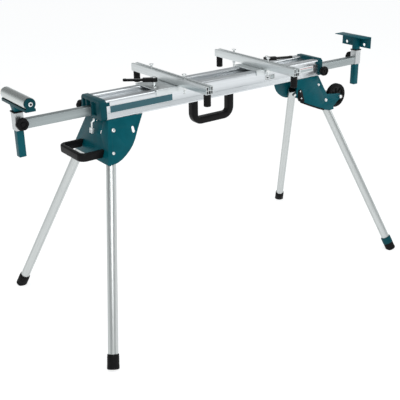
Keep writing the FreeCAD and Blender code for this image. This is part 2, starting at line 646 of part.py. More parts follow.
def make_extension(word, side):
    """Tube that slides out of the beam, with the upright socket for the post at its end."""
    y = f"{-side} * tube_y"
    socket_face = f"{side} * (post_x - socket_size / 2)"
    inner_end = f"{-side} * tube_reach"
    tube_span = ordered(inner_end, socket_face, side)
    wide = (f"{y} - tube_width / 2", f"{y} + tube_width / 2")
    tall = ("tube_low", "tube_low + tube_height")
    tube = box(f"tube_{word}_outer", tube_span, wide, tall)
    bore = box(f"tube_{word}_bore", (f"{tube_span[0]} - 1", f"{tube_span[1]} + 1"),
               (f"{wide[0]} + tube_wall", f"{wide[1]} - tube_wall"), (f"{tall[0]} + tube_wall", f"{tall[1]} - tube_wall"))
    keep(f"extension_tube_{word}", cut(f"tube_{word}", tube, bore))

    plug_span = ordered(f"{inner_end} + {side * 14}", inner_end, -side)
    head_span = ordered(inner_end, f"{inner_end} - {side} * glide_length / 2", -side)
    head = box(f"glide_{word}_head", head_span, (f"{wide[0]} - tube_play + glide_play", f"{wide[1]} + tube_play - glide_play"),
               (f"{tall[0]} - tube_play + glide_play", f"{tall[1]} + tube_play - glide_play"))
    plug = box(f"glide_{word}_plug", plug_span, (f"{wide[0]} + tube_wall", f"{wide[1]} - tube_wall"),
               (f"{tall[0]} + tube_wall", f"{tall[1]} - tube_wall"))
    keep(f"glide_block_{word}", fuse(f"glide_{word}", head, plug))

    centre = f"{side} * post_x"
    out_sign = side
    block = square(f"socket_{word}_block", centre, y, "socket_size", ("socket_low", "socket_high"))
    hole = square(f"socket_{word}_bore", centre, y, "post_size + 2 * post_play", ("socket_low - 1", "socket_high + 1"))
    screw = rod(f"socket_{word}_screw_hole", "y", "screw_hole", centre,
                ordered(f"{y}", f"{y} + {out_sign * 40}", out_sign), "post_knob_z")
    keep(f"socket_{word}", cut(f"socket_{word}_done", block, hole, screw))
    ring = square(f"collar_{word}_block", centre, y, "collar_size", ("socket_high", "socket_high + collar_thick"))
    ring_hole = square(f"collar_{word}_bore", centre, y, "post_size + 2 * post_play - 0.3",
                       ("socket_high - 1", "socket_high + collar_thick + 1"))
    keep(f"socket_collar_{word}", cut(f"collar_{word}_done", ring, ring_hole))

    hub = value("knob_hub_length")
    face = side * (value("socket_size") / 2)
    seat = Vector(side * value("post_x"), -side * value("tube_y") + face + side * hub, value("post_knob_z"))
    reach = value("socket_size / 2 - post_size / 2 - screw_gap")
    make_knob(f"post_knob_{word}", "1.05", str(reach), seat, Vector(0, side, 0))
    across = -side
    wall = value("beam_half_width + cap_over") + 4
    seat = Vector(side * value("beam_length / 2 + cap_thick / 2"), across * (wall + hub), value("tube_knob_z"))
    reach = wall - value("tube_y + tube_width / 2 + screw_gap")
    make_knob(f"extension_knob_{word}", "0.95", str(reach), seat, Vector(0, across, 0))


def square(name, x, y, size, heights):
    """An upright square block about a centre."""
    return box(name, (f"{x} - ({size}) / 2", f"{x} + ({size}) / 2"), (f"{y} - ({size}) / 2", f"{y} + ({size}) / 2"),
               heights)


def make_post(word, side, top):
    x, y = f"{side} * post_x", f"{-side} * tube_y"
    tube = square(f"post_{word}_tube", x, y, "post_size", ("post_foot", top))
    bore = square(f"post_{word}_bore", x, y, "post_size - 2 * post_wall", ("post_foot + 4", f"{top} - 4"))
    return cut(f"post_{word}_shaft", tube, bore)


def make_roller_support():
    """Left post, the cradle on it, and the roller turning on its axle."""
    x, y = "-post_x", "roller_y"
    shaft = make_post("left", -1, "cradle_low")
    gusset = doc.addObject("Part::Wedge", "post_gusset")
    gusset.Placement = Placement(Vector(), Rotation(Vector(1, 0, 0), 90))
    low_half = "post_size / 2"
    bind(gusset, Xmin=f"-({low_half})", Xmax=low_half, X2min="-(cradle_half_width - 3)", X2max="cradle_half_width - 3",
         Zmin=f"-({low_half})", Zmax=low_half, Z2min="-gusset_half", Z2max="gusset_half",
         Ymin="0", Ymax="cradle_low - gusset_low",
         Placement__Base__x=x, Placement__Base__y="tube_y", Placement__Base__z="gusset_low")
    keep("post_left", fuse("post_left_body", shaft, gusset))

    wide = (f"{x} - cradle_half_width", f"{x} + cradle_half_width")
    long = (f"{y} - cradle_half", f"{y} + cradle_half")
    floor = box("cradle_floor", wide, long, ("cradle_low", "cradle_low + sheet"))
    lips = [box(f"cradle_lip_{number}", span, long, ("cradle_low", "cradle_low + sheet + cradle_lip"))
            for number, span in enumerate(((wide[0], f"{wide[0]} + 2"), (f"{wide[1]} - 2", wide[1])))]
    ears = []
    for number, span in enumerate(((long[0], f"{long[0]} + sheet"), (f"{long[1]} - sheet", long[1]))):
        ears.append(rod(f"cradle_ear_{number}", "y", "ear_radius", x, span, "roller_z"))
        ears.append(box(f"cradle_neck_{number}", (f"{x} - cradle_half_width + 3", f"{x} + cradle_half_width - 3"), span,
                        ("cradle_low", "roller_z")))
        ears.append(box(f"cradle_foot_{number}", wide, span, ("cradle_low", "cradle_low + 9")))
    hole = rod("cradle_axle_hole", "y", "axle_radius", x, (f"{long[0]} - 5", f"{long[1]} + 5"), "roller_z")
    keep("roller_cradle", cut("cradle", fuse("cradle_body", floor, *lips, *ears), hole))

    tube = rod("roller_outer", "y", "roller_radius", x, (f"{y} - roller_half", f"{y} + roller_half"), "roller_z")
    bore = rod("roller_bore", "y", "roller_radius - roller_wall", x, (f"{y} - 200", f"{y} + 200"), "roller_z")
    keep("roller_tube", cut("roller", tube, bore))
    plugs = []
    for number, sign in enumerate((-1, 1)):
        span = ordered(f"{y} + {sign} * (roller_half - 14)", f"{y} + {sign} * roller_half", sign)
        nose = ordered(f"{y} + {sign} * roller_half", f"{y} + {sign} * (roller_half + 1)", sign)
        disc = fuse(f"roller_plug_{number}_body",
                    rod(f"roller_plug_{number}", "y", "roller_radius - roller_wall", x, span, "roller_z"),
                    rod(f"roller_nose_{number}", "y", "9", x, nose, "roller_z"))
        plugs.append(cut(f"roller_bearing_{number}", disc,
                         rod(f"roller_plug_{number}_bore", "y", "axle_hole", x, (f"{y} - 200", f"{y} + 200"),
                             "roller_z")))
    keep("roller_end_plugs", group("roller_plugs", *plugs))
    ends = (f"{y} - cradle_half - 4", f"{y} + cradle_half + 4")
    keep("roller_axle", fuse(
        "axle_rod", rod("roller_rod", "y", "axle_radius", x, ends, "roller_z"),
        rod("roller_head", "y", "7.5", x, (f"{y} - cradle_half - 5", f"{y} - cradle_half"), "roller_z"),
        rod("roller_nut", "y", "7.5", x, (f"{y} + cradle_half", f"{y} + cradle_half + 5"), "roller_z")))


def make_stop_support():
    """Right post and the angled stop plate bolted to its outer face."""
    keep("post_right", make_post("right", 1, "stop_top - stop_thick"))
    face = "post_x + post_size / 2"
    long = ("stop_y - stop_half", "stop_y + stop_half")
    upright = box("stop_upright", (face, f"{face} + stop_thick"), long, ("stop_low", "stop_top"))
    flange = box("stop_flange_plate", (f"{face} - stop_flange", f"{face} + stop_thick"), long,
                 ("stop_top - stop_thick", "stop_top"))
    holes = [rod(f"stop_hole_{number}", "x", "stop_hole_radius", ("post_x", "post_x + 40"),
                 f"stop_y + stop_hole_shift + {sign} * stop_hole_spacing / 2", "stop_low + 13")
             for number, sign in enumerate((-1, 1))]
    bolts, bores = [], []
    for number, height in enumerate(("stop_low + 10", "stop_low + 34")):
        bores.append(rod(f"stop_bolt_hole_{number}", "x", "3", ("post_x", "post_x + 40"), "-tube_y", height))
        bolts.append(fuse(f"stop_bolt_{number}",
                          rod(f"stop_bolt_{number}_shank", "x", "3", (face, f"{face} + stop_thick + 1"), "-tube_y", height),
                          rod(f"stop_bolt_{number}_head", "x", "6", (f"{face} + stop_thick",
                                                                   f"{face} + stop_thick + stop_bolt_head"),
                              "-tube_y", height)))
    corner_test = value("post_x + post_size / 2 + stop_thick"), value("stop_top")
    angle = rounded("stop_angle", fuse("stop_plate_body", upright, flange), "2",
                    lambda middle, bounds: bounds.YLength > 100 and abs(middle.x - corner_test[0]) < 0.01
                    and abs(middle.z - corner_test[1]) < 0.01)
    keep("stop_plate", cut("stop_plate_done", angle, *holes, *bores))
    keep("stop_plate_bolts", group("stop_bolts", *bolts))


# ---- saw arms -----------------------------------------------------------------------------------

def make_arm(word, side):
    """Slotted saw arm with its feet and bolts, on a saddle that hooks over both rails."""
    x = f"arm_{word}_x"
    half, slot, wall = "arm_half_width", "arm_slot", "arm_wall"
    outline = mirrored([(half, "arm_low"), (half, "arm_top"), (slot, "arm_top"), (slot, "arm_web + 1")])
    shifted = [[(f"{x} + {across}", up) for across, up in loop] for loop in (
        outline,
        rectangle(f"{slot} + {wall}", f"{half} - {wall}", "arm_web + 1", f"arm_top - {wall}"),
        rectangle(f"{slot} + {wall}", f"{half} - {wall}", f"arm_low + {wall}", "arm_web - 1"),
        rectangle(f"-({half} - {wall})", f"-({slot} + {wall})", "arm_web + 1", f"arm_top - {wall}"),
        rectangle(f"-({half} - {wall})", f"-({slot} + {wall})", f"arm_low + {wall}", "arm_web - 1"),
        rectangle(f"-{slot}", slot, f"arm_low + {wall}", "arm_web - 1"),
    )]
    rail = profile(f"arm_{word}", "XZ_Plane", shifted, "-arm_half_length", "arm_half_length")
    holes, bolts, feet = [], [], []
    for spot in ("front", "rear"):
        y = f"bolt_{spot}_{word}"
        tag = f"{word}_{spot}"
        holes.append(rod(f"arm_hole_{tag}", "z", "bolt_radius", x, y, ("arm_low - 1", "arm_web + 2")))
        head = rod(f"bolt_{tag}_head", "z", "8.5", x, y, ("bolt_top - 5.5", "bolt_top"))
        nut = rod(f"bolt_{tag}_nut", "z", "6.5", x, y, ("arm_low - 12", "arm_low"))
        shank = rod(f"bolt_{tag}_shank", "z", "bolt_radius", x, y, ("bolt_low", "bolt_top - 1"))
        neck = square(f"bolt_{tag}_neck", x, y, "2 * arm_slot - 0.4", ("arm_web + 1", "arm_web + 6"))
        bolts.append(fuse(f"bolt_{tag}", head, nut, shank, neck))
        sign = -1 if spot == "front" else 1
        feet.append(rod(f"arm_foot_{tag}", "z", "arm_foot_radius", x, f"{sign} * arm_foot_y",
                        ("arm_foot_low", "arm_low")))
    keep(f"arm_{word}", cut(f"arm_{word}_done", rail, *holes))
    keep(f"arm_bolts_{word}", group(f"arm_{word}_bolts", *bolts))
    keep(f"arm_feet_{word}", group(f"arm_{word}_feet", *feet))
    make_clamp(word, side, x)


def make_clamp(word, side, x):
    """Folded saddle under the arm, with the lever and its stud beside the arm."""
    reach = ordered(f"{side} * base_inner", f"{side} * base_outer", side)
    skin = "beam_half_width + base_play"
    top = "beam_top + base_play + base_deck"
    deck = box(f"base_{word}_deck", reach, (f"-({skin} + 4)", f"{skin} + 4"), ("beam_top + base_play", top))
    lips = [box(f"base_{word}_lip_{number}", reach, ordered(f"{sign} * ({skin})", f"{sign} * ({skin} + 4)", sign),
                ("beam_top - base_lip", top)) for number, sign in enumerate((-1, 1))]
    pad_block = box(f"base_{word}_block", (f"{x} - 11", f"{x} + 11"), ("-58", "58"), (top, "arm_low"))
    stud_x = f"{side} * stud_x"
    stud_hole = rod(f"base_{word}_hole", "z", "bolt_radius", stud_x, "stud_y", ("beam_top - 20", "arm_low"))
    corner_z, corner_y = value(top), value(f"{skin} + 4")
    folded = rounded(f"base_{word}_fold", fuse(f"base_{word}_body", deck, *lips), "2.5",
                     lambda middle, bounds: bounds.XLength > 60 and abs(middle.z - corner_z) < 0.01
                     and abs(abs(middle.y) - corner_y) < 0.01)
    keep(f"clamp_base_{word}", cut(f"base_{word}_done", fuse(f"base_{word}_whole", folded, pad_block), stud_hole))
    lever_top = "lever_low + lever_thick"
    stud = fuse(f"stud_{word}_body",
                rod(f"stud_{word}_shank", "z", "bolt_radius", stud_x, "stud_y",
                    ("beam_top + base_play", f"{lever_top} + 3")),
                rod(f"stud_{word}_spacer", "z", "8", stud_x, "stud_y", (top, "lever_low - 0.3")),
                rod(f"stud_{word}_nut", "z", "7", stud_x, "stud_y", (f"{lever_top} + 0.3", f"{lever_top} + 6")))
    keep(f"clamp_stud_{word}", stud)
    hub = rod(f"lever_{word}_hub", "z", "lever_hub", "0", "0", ("0", "lever_thick"))
    root = box(f"lever_{word}_root", ("0", "lever_root"), ("-9", "9"), ("0", "lever_thick"))
    blade = box(f"lever_{word}_blade", ("lever_root - 4", "lever_length"), ("-7", "7"), ("3", "3 + lever_blade"))
    knuckle = rod(f"lever_{word}_tip", "z", "7", "lever_length", "0", ("3", "3 + lever_blade + 1"))
    eye = rod(f"lever_{word}_eye", "z", "bolt_radius + 0.08", "0", "0", ("-1", "lever_thick + 1"))
    lever = cut(f"lever_{word}_done", fuse(f"lever_{word}_body", hub, root, blade, knuckle), eye)
    heading = {"left": 145, "right": -20}[word]
    lever.Placement = Placement(Vector(value(stud_x), value("stud_y"), value("lever_low")),
                                Rotation(Vector(0, 0, 1), heading))
    keep(f"clamp_lever_{word}", lever)


# ---- legs ---------------------------------------------------------------------------------------

def make_leg(side, front):
    """Grooved tube with a pivot plug at the top and a rubber foot cut level with the floor."""
    word = f"{'front' if front < 0 else 'rear'}_{'left' if side < 0 else 'right'}"
    levelling = word == "front_right"
    pivot = "pivot_left" if side < 0 else "pivot_right"
    frame = leg_frame(side, front, pivot)
    stretch = f"sqrt(1 + slope_side ^ 2 + slope_end ^ 2)"
    foot_end = f"-({pivot} - foot_lift) * {stretch}"

    body = doc.addObject("PartDesign::Body", f"tube_{word}")
    sketch = sketch_on(body, "XY_Plane", f"{foot_end} + foot_sole")
    draw_circle(sketch, "leg_radius")
    draw_circle(sketch, "leg_radius - leg_wall")
    pad(body, sketch, f"-({foot_end}) - foot_sole + leg_top")
    groove = sketch_on(body, "XY_Plane", f"{foot_end} + foot_sole")
    draw_loop(groove, rectangle("leg_radius - leg_groove", "leg_radius + 2", "-1", "1"))
    pocket = body.newObject("PartDesign::Pocket", f"tube_{word}_groove")
    pocket.Profile = groove
    pocket.Type = "ThroughAll"
    pocket.Reversed = True
    groove.Visibility = False
    pattern = body.newObject("PartDesign::PolarPattern", f"tube_{word}_grooves")
    pattern.Originals = [pocket]
    pattern.Axis = (groove, ["N_Axis"])
    pattern.Angle = 360
    bind(pattern, Occurrences="leg_grooves")
    body.Tip = pattern
    swing = fuse(f"leg_{word}_swing", rod(f"leg_{word}_turn", "y", "leg_swing", "0", ("-40", "40"), "0"),
                 box(f"leg_{word}_below", ("-40", "40"), ("-40", "40"), (f"{foot_end} - 50", "0")))
    tube = common(f"tube_{word}_done", swing, cut(
        f"tube_{word}_crossed", body, rod(f"tube_{word}_cross", "y", "bush_radius", "0", ("-40", "40"), "0")))
    tube.Placement = frame
    keep(f"leg_tube_{word}", tube)

    bush = rod(f"plug_{word}_bush", "y", "bush_radius", "0", ("-plug_half", "plug_half"), "0")
    stub = rod(f"plug_{word}_stub", "z", "leg_radius - leg_wall", "0", "0", ("-plug_reach", "leg_top"))
    lid = rod(f"plug_{word}_lid", "z", "leg_radius - 1", "0", "0", ("leg_top", "leg_top + 3"))
    bore = rod(f"plug_{word}_bore", "y", "pivot_hole", "0", ("-40", "40"), "0")
    plug = common(f"plug_{word}", cut(f"plug_{word}_bored", fuse(f"plug_{word}_body", bush, stub, lid), bore),
                  swing)
    plug.Placement = frame
    keep(f"leg_plug_{word}", plug)

    length = "foot_short" if levelling else "foot_length"
    gap = "foot_play" if levelling else "0"
    boot = taper(f"foot_{word}_boot", "foot_radius", "foot_radius - 1.5", "0", "0",
                 (foot_end, f"{foot_end} + {length}"))
    bottom = value(foot_end)
    soft = rounded(f"foot_{word}_round", boot, "3",
                   lambda middle, bounds: abs(middle.z - bottom) < 0.01 and bounds.ZLength < 0.01)
    socket = rod(f"foot_{word}_socket", "z", f"leg_radius + {gap}", "0", "0",
                 (f"{foot_end} + foot_sole - {gap}", f"{foot_end} + 200"))
    hollow = cut(f"foot_{word}_hollow", soft, socket)
    hollow.Placement = frame
    floor = box(f"foot_{word}_floor", ("-900", "900"), ("-900", "900"), ("-100", "0"))
    keep(f"foot_{word}", cut(f"foot_{word}_done", hollow, floor))
    if levelling:
        ring = taper("leveller_ring", "foot_radius + 0.5", "foot_radius - 1", "0", "0",
                     (f"{foot_end} + {length}", f"{foot_end} + {length} + leveller_length"))
        hole = rod("leveller_bore", "z", "leg_radius + foot_play", "0", "0", (foot_end, "0"))
        collar = cut("leveller", ring, hole)
        collar.Placement = frame
        keep("levelling_collar", collar)


# ---- build, check and export --------------------------------------------------------------------

make_beam()
make_labels()
for end_word, end_side in (("left", -1), ("right", 1)):
    make_end_cap(end_word, end_side)
    make_bracket(end_word, end_side)
    make_extension(end_word, end_side)
    make_arm(end_word, end_side)
    for front_sign in (-1, 1):
        make_leg(end_side, front_sign)
make_bracket_bolts()
make_carry_handle()
make_end_handle()
make_wheels()
make_latch()
make_roller_support()
make_stop_support()
doc.recompute()

for thing in doc.Objects:
    if "Invalid" in thing.State or "Error" in thing.State:
        raise RuntimeError(f"{thing.Name} failed: {thing.State}")
os.makedirs("parts", exist_ok=True)
for node, thing in parts.items():
    if thing.Shape.isNull() or not thing.Shape.isValid() or not thing.Shape.Solids:
        raise RuntimeError(f"{node} has no valid solid")
    thing.Shape.exportStep(f"parts/{node}.step")
whole = Part.makeCompound([thing.Shape for thing in parts.values()]).BoundBox
print(len(parts), "sub-parts", [round(size, 2) for size in (whole.XMin, whole.XMax, whole.YMin, whole.YMax,
                                                            whole.ZMin, whole.ZMax)])
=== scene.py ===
# %% [markdown]
# # A folding saw stand, finished in Blender
# The stand's real sizes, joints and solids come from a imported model. This lesson adds what a maker
# would see on the real one: soft edges, lobed knobs, ribbed rubber boots, screw heads, and a
# finish for every surface. Each step first says what the piece is and why it is made this way.

# %% Load the fixed frame
import json
import math

import bmesh
import bpy
from mathutils import Matrix, Vector


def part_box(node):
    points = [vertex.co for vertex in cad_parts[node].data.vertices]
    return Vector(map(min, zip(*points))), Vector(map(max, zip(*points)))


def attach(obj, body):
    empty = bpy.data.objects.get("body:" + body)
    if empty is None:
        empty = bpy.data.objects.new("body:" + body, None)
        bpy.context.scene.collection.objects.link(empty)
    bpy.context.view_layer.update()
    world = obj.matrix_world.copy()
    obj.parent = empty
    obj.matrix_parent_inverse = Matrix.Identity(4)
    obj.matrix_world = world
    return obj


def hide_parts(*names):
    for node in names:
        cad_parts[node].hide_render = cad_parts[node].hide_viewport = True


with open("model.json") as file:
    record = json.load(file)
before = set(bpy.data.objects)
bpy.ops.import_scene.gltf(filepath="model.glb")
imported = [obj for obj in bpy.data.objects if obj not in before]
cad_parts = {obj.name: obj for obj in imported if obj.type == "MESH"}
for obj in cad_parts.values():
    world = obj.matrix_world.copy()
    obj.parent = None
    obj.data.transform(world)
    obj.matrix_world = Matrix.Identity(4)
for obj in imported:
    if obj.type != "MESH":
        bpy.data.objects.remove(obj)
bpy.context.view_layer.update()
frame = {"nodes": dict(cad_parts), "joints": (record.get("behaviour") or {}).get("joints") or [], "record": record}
joints = {joint["name"]: joint for joint in frame["joints"]}
body_of = {node: body for body, nodes in frame["record"]["behaviour"]["bodies"].items() for node in nodes}
slot_of = {part["node"]: part["material_slot"] for part in frame["record"]["subparts"]}

# %% [markdown]
# ## The camera
# A long lens a little above the beam, looking at the label side from the roller's end. The small
# shift puts the stand where it belongs in the square frame without tilting the camera.

# %% Camera
EYE = Vector((-1.6595, -2.1599, 1.4713))
YAW, PITCH, ROLL = math.radians(37.69), math.radians(22.84), math.radians(-0.40)

camera_data = bpy.data.cameras.new("studio_camera")
camera_data.lens = 65.6
camera_data.sensor_width = 36.0
camera_data.shift_x, camera_data.shift_y = -0.038, -0.014
camera = bpy.data.objects.new("studio_camera", camera_data)
camera.matrix_world = (Matrix.Translation(EYE) @ Matrix.Rotation(-YAW, 4, "Z")
                       @ Matrix.Rotation(math.pi / 2 - PITCH, 4, "X") @ Matrix.Rotation(ROLL, 4, "Z"))
bpy.context.collection.objects.link(camera)
bpy.context.scene.camera = camera

# %% [markdown]
# ## The studio
# Metal shows what is around it, and an even white room would make aluminium look like white
# plastic. So the room is bright at the horizon and dim higher up: upright faces mirror the pale
# floor and stay bright, and level faces mirror the dim part and turn a shade darker. Large soft
# panels light the rest, because a small lamp would give hard glints.

# %% World, floor and lights
scene = bpy.context.scene
scene.view_settings.view_transform = "Standard"
world = bpy.data.worlds.new("studio_room")
world.use_nodes = True
room = world.node_tree
direction = room.nodes.new("ShaderNodeTexCoord")
height = room.nodes.new("ShaderNodeSeparateXYZ")
dimming = room.nodes.new("ShaderNodeValToRGB")
room.links.new(direction.outputs["Generated"], height.inputs[0])
room.links.new(height.outputs["Z"], dimming.inputs["Fac"])
room.links.new(dimming.outputs["Color"], room.nodes["Background"].inputs["Color"])
for number, (rise, grey) in enumerate(((0.0, 0.95), (0.16, 0.62), (0.36, 0.27), (0.62, 0.36), (0.95, 0.80))):
    stop = dimming.color_ramp.elements[number] if number < 2 else dimming.color_ramp.elements.new(rise)
    stop.position, stop.color = rise, (grey * 0.96, grey * 0.99, grey, 1)
scene.world = world


def area_light(name, place, target, size, power):
    """A square softbox that faces a point."""
    data = bpy.data.lights.new(name, "AREA")
    data.shape, data.size, data.energy = "SQUARE", size, power
    lamp = bpy.data.objects.new(name, data)
    aim = (Vector(target) - Vector(place)).to_track_quat("-Z", "Y")
    lamp.matrix_world = Matrix.Translation(place) @ aim.to_matrix().to_4x4()
    bpy.context.collection.objects.link(lamp)


area_light("key_panel", (-1.6, -2.8, 2.6), (0, 0, 0.6), 2.0, 46)
area_light("top_panel", (0.3, 0.2, 3.4), (0, 0, 0.6), 2.2, 22)
area_light("side_panel", (3.0, -1.4, 1.8), (0, 0, 0.6), 1.6, 14)
print("room and", len(bpy.data.lights), "panels ready")

# %% [markdown]
# ## Small tools for building materials
# A material is a little graph. These helpers add a node, join two sockets, and give a pattern the
# object's own coordinates. Because every piece keeps its object at the origin, those coordinates
# are real metres, so a grain of half a millimetre is half a millimetre on every piece.

# %% Material helpers
def add_node(tree, kind, **values):
    """A new node; inputs are set by name, settings by attribute."""
    node = tree.nodes.new(kind)
    for name, value in values.items():
        if name in node.inputs:
            node.inputs[name].default_value = value
        else:
            setattr(node, name, value)
    return node


def join(tree, out_node, out_name, in_node, in_name):
    tree.links.new(out_node.outputs[out_name], in_node.inputs[in_name])


def start_material(name, colour, metallic, roughness, **more):
    """A Principled material whose even values sit on its own sockets."""
    material = bpy.data.materials.new(name)
    material.use_nodes = True
    tree = material.node_tree
    shader = tree.nodes["Principled BSDF"]
    shader.inputs["Base Color"].default_value = (*colour, 1)
    shader.inputs["Metallic"].default_value = metallic
    shader.inputs["Roughness"].default_value = roughness
    for socket, value in more.items():
        shader.inputs[socket.replace("_", " ")].default_value = value
    return material, tree, shader


def object_pattern(tree, size, along=None):
    """Object coordinates divided by a size in metres, turned so X follows a direction."""
    place = add_node(tree, "ShaderNodeTexCoord")
    turn = add_node(tree, "ShaderNodeMapping", vector_type="TEXTURE")
    turn.inputs["Scale"].default_value = size
    if along is not None:
        turn.inputs["Rotation"].default_value = Vector(along).to_track_quat("X", "Z").to_euler()
    join(tree, place, "Object", turn, "Vector")
    return turn


def noise(tree, size, along=None, detail=3.0):
    pattern = object_pattern(tree, size, along)
    cloud = add_node(tree, "ShaderNodeTexNoise", Scale=1.0, Detail=detail, Roughness=0.55)
    join(tree, pattern, "Vector", cloud, "Vector")
    return cloud


def vary(tree, cloud, shader, socket, low, high):
    """Spread a pattern over a range and feed it to the shader."""
    spread = add_node(tree, "ShaderNodeMapRange")
    spread.inputs["From Min"].default_value, spread.inputs["From Max"].default_value = 0.3, 0.7
    spread.inputs["To Min"].default_value, spread.inputs["To Max"].default_value = low, high
    join(tree, cloud, cloud_output(cloud), spread, "Value")
    join(tree, spread, "Result", shader, socket)


def cloud_output(cloud):
    """The grey output of a pattern node, whatever its kind calls it."""
    return next(name for name in ("Fac", "Distance", "Value", "Result") if name in cloud.outputs)


def tint(tree, cloud, shader, dark, light):
    """Blend two close colours through a pattern."""
    ramp = add_node(tree, "ShaderNodeValToRGB")
    ramp.color_ramp.elements[0].position, ramp.color_ramp.elements[1].position = 0.35, 0.65
    ramp.color_ramp.elements[0].color = (*dark, 1)
    ramp.color_ramp.elements[1].color = (*light, 1)
    join(tree, cloud, cloud_output(cloud), ramp, "Fac")
    join(tree, ramp, "Color", shader, "Base Color")


def emboss(tree, shader, clouds, distance, strength=1.0):
    """Bump from one or more patterns, one laid on the other."""
    last = None
    for cloud in clouds:
        bump = add_node(tree, "ShaderNodeBump", Strength=strength, Distance=distance)
        join(tree, cloud, cloud_output(cloud), bump, "Height")
        if last:
            join(tree, last, "Normal", bump, "Normal")
        last = bump
    join(tree, last, "Normal", shader, "Normal")


def shade(colour, factor):
    return tuple(min(1.0, channel * factor) for channel in colour)


# %% [markdown]
# ## Extruded aluminium
# The beam, arms, tubes and legs are pushed through a die, which leaves fine lines along them and a
# satin anodised skin. A noise stretched a hundred times longer along the bar than across it gives
# those lines, both as a faint bump and as a change in roughness. The direction is an input,
# because each leg leans its own way.

# %% Aluminium
def aluminium(name, colour, along, roughness=0.36):
    material, tree, shader = start_material(name, colour, 1.0, roughness)
    lines = noise(tree, (0.25, 0.0011, 0.0011), along, detail=4.0)
    smudge = noise(tree, (0.22, 0.05, 0.05), along, detail=2.0)
    vary(tree, smudge, shader, "Roughness", roughness - 0.05, roughness + 0.08)
    tint(tree, lines, shader, shade(colour, 0.93), shade(colour, 1.04))
    emboss(tree, shader, [lines], 0.00006, 0.6)
    return material


ALONG_BEAM, ALONG_ARM, UPRIGHT = (1, 0, 0), (0, 1, 0), (0, 0, 1)
BEAM_ALUMINIUM = aluminium("beam_aluminium", (0.69, 0.72, 0.74), ALONG_BEAM, 0.32)
TUBE_ALUMINIUM = aluminium("tube_aluminium", (0.36, 0.40, 0.405), ALONG_BEAM, 0.36)
ARM_ALUMINIUM = aluminium("arm_aluminium", (0.68, 0.715, 0.72), ALONG_ARM, 0.36)
SOCKET_ALUMINIUM = aluminium("socket_aluminium", (0.56, 0.58, 0.585), UPRIGHT, 0.40)
print("aluminium:", BEAM_ALUMINIUM.name, TUBE_ALUMINIUM.name, ARM_ALUMINIUM.name, SOCKET_ALUMINIUM.name)

# %% [markdown]
# ## Painted sheet, moulded plastic and rubber
# Powder paint dries with a fine orange peel, so its bump is a soft noise a millimetre across, and
# a second, slower noise makes the gloss uneven. Moulded plastic has a spark-eroded grain, finer and
# rougher than paint. Rubber has almost no gloss, and dust shows on it.

# %% Paint, plastic, rubber
TEAL = (0.0010, 0.078, 0.100)


def powder_paint(name, colour):
    material, tree, shader = start_material(name, colour, 0.0, 0.34, Specular_IOR_Level=0.10)
    peel = noise(tree, (0.0012, 0.0012, 0.0012), detail=2.0)
    handling = noise(tree, (0.045, 0.045, 0.045), detail=5.0)
    vary(tree, handling, shader, "Roughness", 0.28, 0.42)
    tint(tree, handling, shader, shade(colour, 0.90), shade(colour, 1.10))
    emboss(tree, shader, [peel], 0.00005, 0.5)
    return material


def moulded(name, colour, roughness, grain=0.0006, depth=0.00005, gloss=0.10):
    material, tree, shader = start_material(name, colour, 0.0, roughness, Specular_IOR_Level=gloss)
    spark = noise(tree, (grain, grain, grain), detail=2.0)
    flow = noise(tree, (0.03, 0.03, 0.03), detail=4.0)
    vary(tree, flow, shader, "Roughness", roughness - 0.05, roughness + 0.07)
    tint(tree, flow, shader, shade(colour, 0.88), shade(colour, 1.15))
    emboss(tree, shader, [spark], depth, 0.5)
    return material


TEAL_PAINT = powder_paint("teal_powder_paint", TEAL)
TEAL_PLASTIC = moulded("teal_moulded_plastic", (0.0012, 0.052, 0.066), 0.34)
BLACK_PLASTIC = moulded("black_moulded_plastic", (0.0055, 0.0055, 0.006), 0.42)
BLACK_GRIP = moulded("black_grip_plastic", (0.006, 0.006, 0.0065), 0.36, grain=0.0010, depth=0.00010)
RUBBER = moulded("boot_rubber", (0.006, 0.006, 0.0065), 0.55, grain=0.0014, depth=0.00012, gloss=0.10)
TYRE = moulded("tyre_rubber", (0.005, 0.005, 0.0055), 0.50, grain=0.0012, depth=0.00010, gloss=0.10)
WHEEL_PLASTIC = moulded("wheel_centre_plastic", (0.010, 0.011, 0.011), 0.34, gloss=0.16)
LEVER_STEEL = moulded("black_lever_paint", (0.005, 0.005, 0.0055), 0.30, gloss=0.16)
print("TEAL", TEAL, "and", len(bpy.data.materials), "materials so far")

# %% [markdown]
# ## Steel
# Bolts, the latch and the axle are zinc plated: bright, with a cloudy spangle. The roller is ground
# steel, so its lines run round it. A noise that is long along Y and short around it would look
# drawn, so the roller's noise is short along Y instead.

# %% Steel
def zinc(name, colour, roughness):
    material, tree, shader = start_material(name, colour, 1.0, roughness)
    spangle = noise(tree, (0.004, 0.004, 0.004), detail=4.0)
    vary(tree, spangle, shader, "Roughness", roughness - 0.06, roughness + 0.10)
    tint(tree, spangle, shader, shade(colour, 0.88), shade(colour, 1.05))
    emboss(tree, shader, [spangle], 0.00003, 0.4)
    return material


def ground_steel(name, colour, roughness):
    material, tree, shader = start_material(name, colour, 1.0, roughness)
    rings = noise(tree, (0.06, 0.0005, 0.06), detail=3.0)
    vary(tree, rings, shader, "Roughness", roughness - 0.05, roughness + 0.08)
    tint(tree, rings, shader, shade(colour, 0.95), shade(colour, 1.03))
    emboss(tree, shader, [rings], 0.00001, 0.3)
    return material


ZINC = zinc("zinc_plated_steel", (0.80, 0.82, 0.82), 0.26)
ROLLER_STEEL = ground_steel("roller_ground_steel", (0.60, 0.63, 0.62), 0.24)

# %% [markdown]
# ## Printed plates
# Three thin plates sit in the beam's front recess. On the real stand they are printed foil on
# aluminium. A print is several flat inks side by side, so each ink is a material of its own and
# the plate's mesh carries them face by face. The inks stay blank: shapes only, no lettering.

